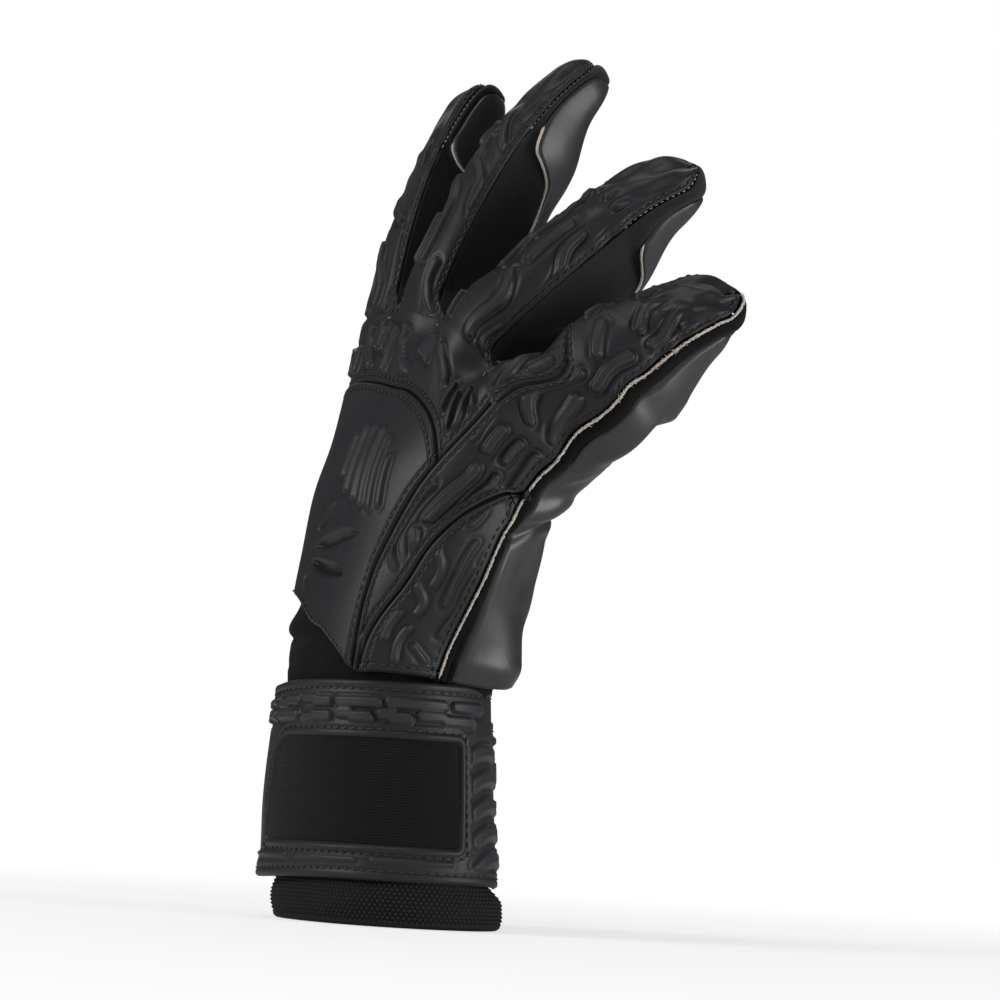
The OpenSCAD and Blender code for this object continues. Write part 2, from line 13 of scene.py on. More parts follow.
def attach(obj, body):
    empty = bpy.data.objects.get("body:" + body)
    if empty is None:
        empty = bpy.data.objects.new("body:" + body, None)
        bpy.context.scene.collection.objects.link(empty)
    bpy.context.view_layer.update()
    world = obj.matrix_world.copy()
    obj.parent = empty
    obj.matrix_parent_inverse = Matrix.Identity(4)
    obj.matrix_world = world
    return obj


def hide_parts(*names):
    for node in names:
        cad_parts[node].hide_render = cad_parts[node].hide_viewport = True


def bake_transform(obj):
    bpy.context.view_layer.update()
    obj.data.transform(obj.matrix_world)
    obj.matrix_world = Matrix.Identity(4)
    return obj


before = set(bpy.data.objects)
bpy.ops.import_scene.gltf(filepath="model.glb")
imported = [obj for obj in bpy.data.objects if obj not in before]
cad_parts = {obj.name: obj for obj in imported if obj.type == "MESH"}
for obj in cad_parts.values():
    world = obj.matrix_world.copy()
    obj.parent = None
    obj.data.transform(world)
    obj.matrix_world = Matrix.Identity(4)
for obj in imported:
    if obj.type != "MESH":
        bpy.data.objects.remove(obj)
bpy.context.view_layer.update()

bl_info = {
    "name": "Goalkeeper Glove",
    "version": (1, 0, 0),
    "blender": (4, 5, 0),
    "location": "3D View > Sidebar > Glove",
    "description": "Builds a right-hand goalkeeper glove piece by piece over its packed frame",
    "category": "Add Mesh",
}

MM = 0.001


# Properties that a user would change
def length(name, description, millimetres):
    """A length property, given in millimetres."""
    return FloatProperty(
        name=name, description=description, default=millimetres * MM, min=0, max=0.3,
        unit="LENGTH", subtype="DISTANCE", precision=4,
    )


def colour(name, description, value):
    """A colour property in linear light."""
    return FloatVectorProperty(
        name=name, description=description, default=value, min=0, max=1, size=3, subtype="COLOR",
    )


class GloveSizes(bpy.types.PropertyGroup):
    """Sizes of the layers, seams, edges and fabrics."""

    panel: length("Panel", "Thickness of the latex and foam panels", 2.2)
    knit: length("Knit", "Thickness of the knitted pieces", 0.8)
    plate_height: length("Plate height", "Height of the raised plates of the strap", 1.15)
    seam_depth: length("Seam depth", "How deep the panels turn down into a seam", 1.9)
    seam_turn: length("Seam turn", "How far from a seam a panel starts to turn down", 1.7)
    stitch_inset: length("Stitch inset", "Distance of a stitch row from its seam", 2.7)
    stitch: length("Stitch", "Length of a stitch", 2.0)
    stitch_gap: length("Stitch gap", "Space between two stitches", 1.0)
    thread: length("Thread", "Radius of the sewing thread", 0.32)
    raw_edge: length("Raw edge", "Half width of the raw cream edges", 0.43)
    tip_fold: length("Tip fold", "Height of the gathers at the fingertips", 1.3)
    mesh_cell: length("Mesh cell", "Width of a cell of the hem's mesh", 1.55)
    rib: length("Rib", "Distance between ribs of the knitted window", 0.85)


class GloveColours(bpy.types.PropertyGroup):
    """Colours of the materials."""

    back: colour("Back", "Latex of the back", (0.0152, 0.0155, 0.0178))
    palm: colour("Palm", "Latex of the palm", (0.02, 0.0195, 0.0205))
    strap: colour("Strap", "Latex of the strap", (0.0178, 0.018, 0.0203))
    knit: colour("Knit", "Knitted gussets", (0.0175, 0.0175, 0.0183))
    sleeve: colour("Sleeve", "Knitted sleeve and edge bands", (0.0036, 0.0036, 0.004))
    mesh: colour("Mesh", "Mesh of the hem", (0.009, 0.009, 0.0098))
    touch: colour("Touch fabric", "Looped fabric and hooks", (0.0056, 0.0056, 0.0064))
    lining: colour("Lining", "Lining", (0.012, 0.012, 0.013))
    cream: colour("Raw edge", "Raw edges and their threads", (0.56, 0.50, 0.44))
    thread: colour("Thread", "Sewing thread", (0.016, 0.016, 0.0175))
    floor: colour("Floor", "Floor and backdrop", (0.93, 0.93, 0.93))


def sizes():
    return bpy.context.scene.glove_sizes


def mm(value):
    """A length property's value in millimetres."""
    return value / MM


# Curves and vectors
def unit(v):
    return v / np.linalg.norm(v)


def mix(a, b, f):
    return a + (b - a) * f


def ease(x):
    c = np.clip(x, 0.0, 1.0)
    return c * c * (3 - 2 * c)


def hump(x, middle, half):
    """1 at the middle, falling smoothly to 0 at half a width away."""
    return ease(1 - np.abs(x - middle) / half)


def signed_power(c, e):
    return np.sign(c) * np.abs(c) ** e


def curve(x, places, values):
    """Smooth curve through values at places, level beyond the ends."""
    places = np.asarray(places, float)
    values = np.asarray(values, float)
    slope = np.gradient(values, places)
    x = np.clip(x, places[0], places[-1])
    k = np.clip(np.searchsorted(places, x, side="right") - 1, 0, len(places) - 2)
    h = places[k + 1] - places[k]
    f = (x - places[k]) / h
    return (
        values[k] * (1 + 2 * f) * (1 - f) ** 2
        + slope[k] * h * f * (1 - f) ** 2
        + values[k + 1] * f * f * (3 - 2 * f)
        - slope[k + 1] * h * f * f * (1 - f)
    )


def ripple(x, y, seed, wave, count=7):
    """Soft random waves over x and y, about -1 to 1, with the given wavelength."""
    rng = np.random.default_rng(seed)
    total = np.zeros(np.broadcast(x, y).shape)
    for _ in range(count):
        turn, phase = rng.uniform(0, 2 * np.pi, 2)
        k = 2 * np.pi / (wave * rng.uniform(0.7, 1.5))
        total = total + np.sin(k * (x * np.cos(turn) + y * np.sin(turn)) + phase)
    return total / count * 1.6


# Frame of the hand, as in the part's source: side, along and out of the back
WRIST = np.array([-5.0, -4.0, 86.0])
LEAN, SIDE = np.radians(11.5), np.radians(1.5)
ALONG = unit(np.array([np.sin(SIDE), np.sin(LEAN), np.cos(LEAN)]))
ACROSS = unit(np.array([1.0, 0.0, 0.0]) - ALONG * ALONG[0])
OUT = np.cross(ACROSS, ALONG)
# Places between which soft pieces would turn from the cuff to the hand
WRIST_BEND = (WRIST - ALONG * 5, WRIST + ALONG * 17)
HAND_POWER, FINGER_POWER, CUFF_POWER = 2.7, 2.6, 2.2

# Sections of the hand: level above the wrist joint, half width, half depth, drift across, drift out
LEVELS = (-16, 0, 25, 50, 75, 112, 140)
HALF_WIDTHS = (37, 38, 46, 49, 54, 57, 57)
HALF_DEPTHS = (30.5, 31, 31.5, 29, 23, 17, 15)
DRIFT_ACROSS = (1.5, 2, 3, 3, 5, 1, 0)
DRIFT_OUT = (-1, -1, -2, 0, 1, 2, 2)

# Dips between the finger roots: across, along, depth, on the back and on the palm
BACK_DIPS = ((-26, 115, 2.0), (6, 110, 5.0), (37, 92, 9.0))
PALM_DIPS = ((-26, 121, 6.0), (8, 115, 6.0), (38, 98, 7.0))
DIP_SPREAD = (8.0, 10.0)
# How far the thumb side of the back is pressed in: level, depth
THUMB_SIDE_SINK = ((-16, 1.2), (20, 1.6), (45, 2.4), (62, 2.8), (78, 0.8), (90, 0.3), (112, 1.6), (140, 1.6))

# Angle at which the tables round the hand start
TABLE_START = -60
# Top edge of the hand, where the finger roots start: angle round the hand, level
TOP_EDGE = (
    (-60, 98), (-30, 79), (-16, 71), (10, 73), (40, 80), (59, 90), (73, 101), (88, 108), (99, 112),
    (111, 113), (130, 113), (150, 111), (172, 108), (186, 107), (215, 112), (249, 120), (260, 118),
    (272, 114), (286, 106), (301, 97), (330, 79), (344, 71), (370, 73),
)
# Level of the hand's lower edge: over the thumb side of the back it is cut higher
LOW_EDGE = (
    (-60, -0.5), (-45, -2.8), (-30, -5.2), (-10, -8.0), (0, -8.8), (20, -10.2), (40, -11.4),
    (58, -12.0), (72, -6.8), (86, -1.0), (105, 7.6), (130, 12.5), (160, 10.5), (172, 6.0), (182, -2.0),
    (192, -5.0), (230, -1.5), (270, 0.0), (300, -0.5), (315, -2.8), (330, -5.2), (350, -8.0), (360, -8.8),
)
# Seams of the back: level, angle round the hand
SIDE_SEAM = (
    (-14, 3.3), (-5, 2.9), (5, 2.6), (15, 2.8), (25, 2.6), (37, 0.7), (46, -1.3), (54, -3.0), (63, -4.0),
    (72, -2.8),
)
BAND_SEAM = (
    (-14, 57), (0, 60), (12, 64), (22, 65.5), (32, 62.5), (41, 58), (56, 49), (68, 41.5), (75, 36.5),
    (82, 31),
)
SIDE_TOP = 54.0
LOWER_SEAM = ((-14, 53), (0, 51), (7.5, 47.5), (14, 43.5), (30, 35.5), (40, 23), (SIDE_TOP, -3.6))
# Arched seam over the knuckle panel: angle, level
ARCH_SEAM = ((40, 48), (49, 55.5), (63, 66.5), (81, 77.5), (92, 83), (108, 86.5), (142, 87), (172, 83))
# Angles where the back ends and the palm starts on the thumb side
BACK_HIGH, PALM_LOW = 172.0, 186.0
# Width of the black band beside the side seam
EDGE_BAND = 4.8


def along_table(x, table):
    places, values = zip(*table)
    return curve(x, places, values)


def round_hand(u, table):
    """Value of a table that goes round the hand, at any angle."""
    return along_table(np.mod(np.asarray(u, float) - TABLE_START, 360) + TABLE_START, table)


top_edge = partial(round_hand, table=TOP_EDGE)
low_edge = partial(round_hand, table=LOW_EDGE)
side_seam = partial(along_table, table=SIDE_SEAM)
band_seam = partial(along_table, table=BAND_SEAM)
lower_seam = partial(along_table, table=LOWER_SEAM)
arch_seam = partial(along_table, table=ARCH_SEAM)


def hand_core(t):
    """Point of the hand's axis at a level."""
    return WRIST + np.multiply.outer(t, ALONG) + np.multiply.outer(curve(t, LEVELS, DRIFT_ACROSS), ACROSS)


# Swells and hollows of the palm: height, angle and reach round the hand, level and reach along it
PALM_SWELLS = (
    # heel, and the waist above it
    (9.8, 330, 46, -6, 26), (-4.8, 335, 44, 29, 22),
    # ball of the thumb, hollow of the palm, pads under the fingers
    (5.0, 226, 48, 34, 42), (-3.5, 275, 38, 64, 44), (1.5, 280, 70, 86, 24),
)
# Crease that crosses the heel: angle, level; then depth and half width of the crease and of the roll above it
CREASE = ((300, 58), (318, 52), (345, 44), (362, 37))
CREASE_START, CREASE_DEPTH, CREASE_HALF = 296, 2.4, 2.2
ROLL_ABOVE, ROLL_HEIGHT, ROLL_HALF = 6.5, 1.6, 4.5


def palm_swell(u, t):
    """Swell of the palm's heel and of the ball of the thumb, and the crease that crosses the heel."""
    total = sum(
        height * hump(u, angle, round_it) * hump(t, level, along_it)
        for height, angle, round_it, level, along_it in PALM_SWELLS
    )
    above = t - along_table(u, CREASE)
    crease = -CREASE_DEPTH * np.exp(-((above / CREASE_HALF) ** 2)) * ease((u - CREASE_START) / 16)
    roll = ROLL_HEIGHT * np.exp(-(((above - ROLL_ABOVE) / ROLL_HALF) ** 2)) * ease((u - CREASE_START) / 20)
    return total + crease + roll


# Web of the palm below the little finger: a place on it, its run, and the way that it stands out
WEB_AT = np.array([54.0, 18.5, 149.0])
WEB_ALONG = unit(np.array([0.45, 0.55, 0.7]))
WEB_OUT = unit(np.array([0.32, 0.63, -0.71]))
# Place along the web, edge that it starts from, reach
WEB = (
    (-21, 17, 0), (-10, 10.4, 4), (2, -0.7, 12.6), (14, -7.9, 20.4), (32, 0, 13.8), (46, 5, 6.9), (65, 8, 0),
)
WEB_DEPTH = 27.0


def web(points):
    """The palm is cut flat: its latex runs straight from the heel to the little fingertip."""
    q = points - WEB_AT
    place, edge, reach = np.array(WEB).T
    at = q @ WEB_ALONG
    near = (curve(at, place, edge) - q @ WEB_OUT) / WEB_DEPTH
    share = np.maximum(0, 1.09 - np.logaddexp(0, near * 8) / 8)
    side = ease((q @ ACROSS + 57.5) / 36)
    return points + (curve(at, place, reach) * share**1.2 * side)[..., None] * WEB_OUT


def hand_surface(u, t):
    """Points of the hand's outer surface at angles u (degrees) and levels t (mm)."""
    u, t = np.broadcast_arrays(np.asarray(u, float), np.asarray(t, float))
    r = np.radians(u)
    spread, bulk = (signed_power(part, 2 / HAND_POWER) for part in (np.cos(r), np.sin(r)))
    across = curve(t, LEVELS, DRIFT_ACROSS) + curve(t, LEVELS, HALF_WIDTHS) * spread
    out = curve(t, LEVELS, DRIFT_OUT) + curve(t, LEVELS, HALF_DEPTHS) * bulk
    sx, sy = DIP_SPREAD
    for dips, facing in ((BACK_DIPS, 1), (PALM_DIPS, -1)):
        for x, y, depth in dips:
            dip = depth * np.exp(-(((across - x) / sx) ** 2) - ((t - y) / sy) ** 2)
            out = out - facing * dip * ease(facing * np.sin(r) * 2.5)
    sink = along_table(t, THUMB_SIDE_SINK) * ease((np.mod(u, 360) - 82) / 34)
    out = out - sink * np.maximum(np.sin(r), 0)
    swell = palm_swell(np.mod(u, 360), t) * ease(-np.sin(r) * 4 + 0.6)
    out = out + swell * np.where(np.sin(r) < 0, np.sin(r), 0)
    across = across + swell * spread * 0.7
    return web(WRIST + t[..., None] * ALONG + across[..., None] * ACROSS + out[..., None] * OUT)


def beside(angles, surface, width):
    """Angles of a line that runs at a width below another one, measured over the surface."""
    down = np.linspace(0, 26, 79)
    points = surface(angles[:, None] - down[None, :])
    walked = np.cumsum(np.linalg.norm(np.diff(points, axis=1), axis=-1), axis=1)
    return angles - np.array([np.interp(width, w, down[1:]) for w in walked])


PALM_LEVELS = np.linspace(-16.0, 84.0, 101)
PALM_ANGLES = beside(side_seam(PALM_LEVELS), lambda u: hand_surface(u, PALM_LEVELS[:, None]), EDGE_BAND)


def palm_seam(t):
    return np.interp(t, PALM_LEVELS, PALM_ANGLES)


class Limb:
    """A finger or the thumb: a bent tube of oval section."""

    def __init__(self, start, along, across, out, bend, span, half_width, back, pad, steady, growing):
        self.start, self.along, self.across, self.out = start, along, across, out
        self.bend, self.span, self.half_width, self.back, self.pad = bend, span, half_width, back, pad
        self.steady, self.growing = steady, growing
        self.cap = 14.0
        self.tip_depth = 12.0
        self.taper = 0.8
        self.swell, self.slim = 0.0, 0.0
        steps = np.linspace(0, span, 241)
        middle = (steps[1:] + steps[:-1]) / 2
        moves = self.direction(middle) * (steps[1] - steps[0])
        self.steps = steps
        self.spine = np.vstack([start, start + np.cumsum(moves, axis=0)])

    def curl(self, s):
        r = np.clip(s / self.span, 0, 1)
        return np.radians(self.bend + self.steady * r + self.growing * r**3)

    def direction(self, s):
        c = self.curl(s)[..., None]
        return self.along * np.cos(c) - self.out * np.sin(c)

    def outward(self, s):
        c = self.curl(s)[..., None]
        return self.out * np.cos(c) + self.along * np.sin(c)

    def centre(self, s):
        at = np.stack([np.interp(s, self.steps, self.spine[:, k]) for k in range(3)], axis=-1)
        return at + np.minimum(s, 0)[..., None] * self.direction(np.zeros(1))

    def point(self, u, s):
        u, s = np.broadcast_arrays(np.asarray(u, float), np.asarray(s, float))
        r = np.clip(s / self.span, 0, 1)
        over = np.clip((s - self.span + self.cap) / self.cap, 0, 1)
        close = np.sqrt(np.maximum(0, 1 - over**2))
        a = (self.half_width - self.taper * r) * close
        turn = np.radians(u)
        fat = self.swell * ease((0.95 - r) / 0.42) * ease(r / 0.3)
        pad = (mix(self.pad, self.tip_depth, r) + fat) * (1 - self.slim * ease((r - 0.66) / 0.34))
        depth = np.where(np.sin(turn) > 0, mix(self.back, self.tip_depth, r), pad)
        x = a * signed_power(np.cos(turn), 2 / FINGER_POWER)
        y = depth * close * signed_power(np.sin(turn), 2 / FINGER_POWER)
        return self.centre(s) + x[..., None] * self.across + y[..., None] * self.outward(s)


def back_height(x, t):
    """How far the plain section of the hand stands out at a place across it and a level."""
    r = min(abs(x - curve(t, LEVELS, DRIFT_ACROSS)) / curve(t, LEVELS, HALF_WIDTHS), 0.97)
    bulk = (1 - r**HAND_POWER) ** (1 / HAND_POWER)
    return curve(t, LEVELS, DRIFT_OUT) + curve(t, LEVELS, HALF_DEPTHS) * bulk


def turned(v, axis, degrees):
    a = np.radians(degrees)
    return v * np.cos(a) + np.cross(axis, v) * np.sin(a) + axis * (axis @ v) * (1 - np.cos(a))


BACK_HALF, KNUCKLE_DEPTH = 13.5, 9.0
# Curl of a finger in degrees: steady along it, and growing towards the tip
FINGER_CURL = (18.0, 24.0)
BACK_MIDDLE, PAD_MIDDLE = 90.0, 270.0


def closing(v, start, end):
    """How far an edge has turned in round a tip, 0 to 1, along a quarter circle."""
    f = np.clip((v - start) / (end - start), 0, 1)
    return 1 - np.sqrt(1 - f**2)


class Finger:
    """A finger's tube, blended at its root into the back, the palm and the crotches of the hand."""

    def __init__(self, name, place, level, spread, bend, span, half_width, pad, seams, roots, crotch_sides):
        self.name = name
        along, across = turned(ALONG, OUT, -spread), turned(ACROSS, OUT, -spread)
        out = turned(OUT, across, -bend)
        depth = back_height(place, level) - KNUCKLE_DEPTH
        self.pivot = WRIST + ALONG * level + ACROSS * place + OUT * depth
        start = self.pivot - out * (BACK_HALF - KNUCKLE_DEPTH)
        self.limb = Limb(start, along, across, OUT, bend, span, half_width, BACK_HALF, pad, *FINGER_CURL)
        # angles of the seams round the finger: back low, back high, palm low, palm high
        self.seams = seams
        # angles of the same four points round the hand
        self.roots = roots
        # whether the little-finger side and the thumb side face another finger
        self.crotch_low, self.crotch_high = crotch_sides
        self.root_span, self.crotch_span = 27.0, 12.0
        self.turn_at = 0.84
        self.limb.swell, self.limb.slim = FINGER_SWELL[name]

    def seam(self, which, v):
        """Angles of a seam at shares of the way to the tip: back low or high, palm low or high."""
        share = self.place(np.full(len(v), PAD_MIDDLE if which > 1 else BACK_MIDDLE), v)[1] / self.limb.span
        if which == 3 and not self.crotch_low:
            return 360 + beside(self.seam(0, v), lambda u: self.surface(u, v[:, None])[0], EDGE_BAND)
        return along_table(share, FINGER_EDGES[self.name][which])

    def edge(self, which, v):
        """Angles of a panel's edge: it follows the seam, then turns in round the fingertip."""
        return mix(self.seam(which, v), PAD_MIDDLE if which > 1 else BACK_MIDDLE, closing(v, *TIP_CLOSE))

    def root(self, u, rise):
        """Points of the root, carried on along the hand by rise."""
        b0, b1, p0, p1 = self.seams
        h0, h1, g0, g1 = self.roots
        u = np.asarray(u, float)
        u = np.where(u > p1 + (b0 + 360 - p1) * 1.0001, u - 360, u)
        u = np.where(u < b0, u + 360, u)

        def on_hand(angle):
            return hand_surface(angle, top_edge(angle) + rise)

        back = on_hand(mix(h0, h1, (u - b0) / (b1 - b0)))
        palm = on_hand(mix(g0, g1, (u - p0) / (p1 - p0)))
        f = np.clip((u - b1) / (p0 - b1), 0, 1)
        g = np.clip((u - p1) / (b0 + 360 - p1), 0, 1)
        if self.crotch_high:
            high = mix(on_hand(np.full_like(u, h1)), on_hand(np.full_like(u, g0)), f[..., None])
        else:
            high = on_hand(mix(h1, g0, f))
        if self.crotch_low:
            low = mix(on_hand(np.full_like(u, g1)), on_hand(np.full_like(u, h0)), g[..., None])
        else:
            low = on_hand(mix(g1, h0 + 360, g))
        pick = [(u <= b1)[..., None], (u <= p0)[..., None], (u <= p1)[..., None]]
        return np.where(pick[0], back, np.where(pick[1], high, np.where(pick[2], palm, low)))

    def root_reach(self, u):
        """Length over which the root turns into the finger: long on back and palm, short in a crotch."""
        b0, b1, p0, p1 = self.seams
        u = np.mod(u - b0, 360) + b0
        low = (u > p1) | (u < (b0 + b1) / 2)
        back = np.where(low, u - b0, b1 - u) / (b1 - b0) * 2
        back = np.where(u > b1, (b1 - u) / (p0 - b1), back)
        back = np.where(u > p1, (u - 360 - b0) / (b0 + 360 - p1), back)
        crotch = np.where(low, self.crotch_low, self.crotch_high) & ((u <= p0) | (u >= p1))
        away = np.maximum(ease(back / 0.6), ease(-back))
        return np.where(crotch, mix(self.crotch_span, self.root_span, away), self.root_span)

    def place(self, u, v):
        """Distance along the finger at the share v of the way from its root to its tip."""
        zero = np.zeros(np.broadcast(u, v).shape)
        u, v = np.broadcast_arrays(np.asarray(u, float), np.asarray(v, float))
        first = (self.root(u, zero) - self.limb.start) @ self.limb.direction(np.zeros(1))[0]
        shaft = self.limb.span - self.limb.cap
        over = np.clip((v - self.turn_at) / (1 - self.turn_at), 0, 1)
        s = mix(first, shaft, np.minimum(v, self.turn_at) / self.turn_at)
        return first, s + self.limb.cap * np.sin(over * np.pi / 2)

    def surface(self, u, v):
        """Points of the finger's outer surface, and the points of its axis behind them."""
        u, v = np.broadcast_arrays(np.asarray(u, float), np.asarray(v, float))
        first, s = self.place(u, v)
        rise = s - first
        free = ease(rise / self.root_reach(u))[..., None]
        shaft = self.limb.point(u, s)
        points = mix(self.root(u, rise), web(shaft) if self.name == "little" else shaft, free)
        return points, self.limb.centre(s)

    def blend(self, obj):
        """Bakes the piece's transform; the places along the finger between which it would turn from the hand
        to the finger are worked out but not used.
        """
        d = unit(self.limb.along + self.limb.direction(np.zeros(1))[0])
        start = self.pivot + d * BLEND_START
        end = self.pivot + d * BLEND_END
        tuple(start * MM)
        tuple(end * MM)
        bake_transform(obj)


BLEND_START, BLEND_END = 1.0, 24.0
TIP_CLOSE = (0.86, 0.956)
# How far the pad is swollen, and the share by which it is slimmer at its tip
FINGER_SWELL = {"index": (5.0, 0.45), "middle": (6.2, 0.42), "ring": (12.0, 0.22), "little": (0.0, 0.36)}
# How far the back is pressed flat: depth, place along the finger, reach
FINGER_FLAT = {
    "index": (3.8, 0.56, 0.62),
    "middle": (1.3, 0.8, 0.4),
    "ring": (2.7, 0.76, 0.5),
    "little": (3.6, 0.9, 0.46),
}
# Seams along each finger as share and angle: back low and high, palm low and high
FINGER_EDGES = {
    "index": (
        ((0, 36), (0.3, 36), (0.5, 36), (1, 42)), ((0, 178), (1, 178)), ((0, 196), (1, 196)),
        ((0, 332), (0.3, 331), (0.52, 331), (0.58, 350), (0.65, 381), (0.75, 386), (1, 388)),
    ),
    "middle": (
        ((0, 30), (0.15, 30), (0.5, 28), (0.7, 27), (1, 27)), ((0, 148), (0.15, 148), (0.5, 152), (1, 154)),
        ((0, 206), (0.3, 207), (0.52, 207), (0.58, 190), (0.65, 170), (0.75, 168), (1, 168)),
        ((0, 330), (0.3, 331), (0.5, 329), (0.56, 338), (0.62, 362), (0.68, 372), (1, 374)),
    ),
    "ring": (
        ((0, 10), (0.15, 10), (0.31, 6), (0.47, 1.5), (0.62, 1), (0.75, 4), (1, 5)),
        ((0, 148), (0.2, 150), (0.5, 156), (1, 158)),
        ((0, 206), (0.3, 207), (0.52, 207), (0.58, 192), (0.65, 174), (0.75, 172), (1, 172)),
        ((0, 322), (0.25, 316), (0.45, 309), (0.58, 303), (0.63, 314), (0.68, 342), (0.74, 350), (1, 350)),
    ),
    "little": (
        (
            (0, 14.5), (0.08, 16.3), (0.2, 21), (0.29, 23.5), (0.38, 19.5), (0.47, 12), (0.56, 8.5), (0.7, 8),
            (1, 7),
        ),
        ((0, 140), (0.3, 146), (1, 154)),
        ((0, 206), (0.3, 207), (0.52, 207), (0.58, 190), (0.65, 172), (0.75, 168), (1, 168)),
        (),
    ),
}
# Seam over the back of the little finger: share of its length, angle
LITTLE_SEAM = ((0.02, 84), (0.1, 76), (0.18, 72), (0.25, 77), (0.3, 87), (0.36, 110), (0.4, 146))
# Place across the hand, level, spread, bend, span, half width and pad depth of each finger; the angles of its
# four seams round it and round the hand; whether its two sides face another finger
FINGERS = {
    name: Finger(name, *measures)
    for name, *measures in (
        (
            "index", -40.5, 112, -4, -4, 97, 13, 15,
            (36, 178, 196, 332), (111, 172, 186, 249), (True, False),
        ),
        (
            "middle", -11.5, 111, 4, 4, 109.5, 13, 16.5,
            (30, 148, 206, 330), (88, 111, 249, 272), (True, True),
        ),
        (
            "ring", 19.5, 96, 22, 15, 99, 13.8, 18,
            (10, 148, 206, 322), (59, 88, 272, 301), (True, True),
        ),
        (
            "little", 47.5, 76, 32, 25, 84.5, 14, 19.5,
            (-12, 140, 206, 332), (-16, 59, 301, 330), (False, True),
        ),
    )
}

# Thumb: it leaves the palm side of the hand with its back turned outwards
THUMB_LEVEL, THUMB_ROOT, THUMB_IN = 42.0, 36.0, 10.0
# Drift and half width of the hand at the thumb's level
THUMB_DRIFT, THUMB_HALF = 2.68, 48.04
THUMB_ALONG = unit(ACROSS * -0.2 + ALONG * 0.78 - OUT * 0.6)
THUMB_OUT = unit(-ACROSS - THUMB_ALONG * (-ACROSS @ THUMB_ALONG))
THUMB_ACROSS = np.cross(THUMB_ALONG, THUMB_OUT)
THUMB_START = (
    WRIST + ALONG * THUMB_LEVEL + ACROSS * (THUMB_DRIFT - THUMB_HALF + THUMB_IN) - OUT * THUMB_IN
    + THUMB_ALONG * THUMB_ROOT
)
THUMB = Limb(THUMB_START, THUMB_ALONG, THUMB_ACROSS, THUMB_OUT, 0, 62, 14, 13.5, 13.5, 10.0, 14.0)

# Cuff
HEM_HALF = (42.0, 33.5)
HEM_HEIGHT, STRAP_BOTTOM, STRAP_HEIGHT = 14.0, 14.3, 58.0
STRAP_TOP = STRAP_BOTTOM + STRAP_HEIGHT
STRAP_LOW_HALF, STRAP_HIGH_HALF = (43.0, 36.0), (38.5, 31.0)
CUFF_DRIFT = (-5.0, -4.0)


def cuff_oval(u, a, b, lift):
    r = np.radians(u)
    x = (a + lift) * signed_power(np.cos(r), 2 / CUFF_POWER)
    y = -(b + lift) * signed_power(np.sin(r), 2 / CUFF_POWER)
    return x, y


def hem_surface(u, z, lift=0.0):
    x, y = cuff_oval(u, *HEM_HALF, lift)
    return np.stack(np.broadcast_arrays(x, y, z), axis=-1)


def strap_surface(u, z, lift=0.0):
    f = np.clip((z - STRAP_BOTTOM) / STRAP_HEIGHT, 0, 1)
    a = mix(STRAP_LOW_HALF[0], STRAP_HIGH_HALF[0], f)
    b = mix(STRAP_LOW_HALF[1], STRAP_HIGH_HALF[1], f)
    x, y = cuff_oval(u, a, b, lift)
    return np.stack(np.broadcast_arrays(x + CUFF_DRIFT[0] * f, y + CUFF_DRIFT[1] * f, z), axis=-1)


# Grids of points and the meshes made from them
FAR_AWAY = 1e3


def steps(count):
    return np.linspace(0.0, 1.0, count)


def outward(points, core, ring=False):
    """Outward normals of a grid, and whether its columns run the wrong way round."""
    if ring:
        inner = points[:, :-1]
        across = np.roll(inner, -1, axis=1) - np.roll(inner, 1, axis=1)
        across = np.concatenate([across, across[:, :1]], axis=1)
    else:
        across = np.gradient(points, axis=1)
    n = np.cross(across, np.gradient(points, axis=0))
    n = n / np.maximum(np.linalg.norm(n, axis=-1, keepdims=True), 1e-9)
    for last, before in ((0, 1), (-1, -2)):
        if np.linalg.norm(points[last] - points[last, :1], axis=-1).max() < 1e-6:
            n[last] = unit(n[before].mean(axis=0) + 1e-9)
    wrong = float(np.sum(n * (points - core))) < 0
    return (-n if wrong else n), wrong


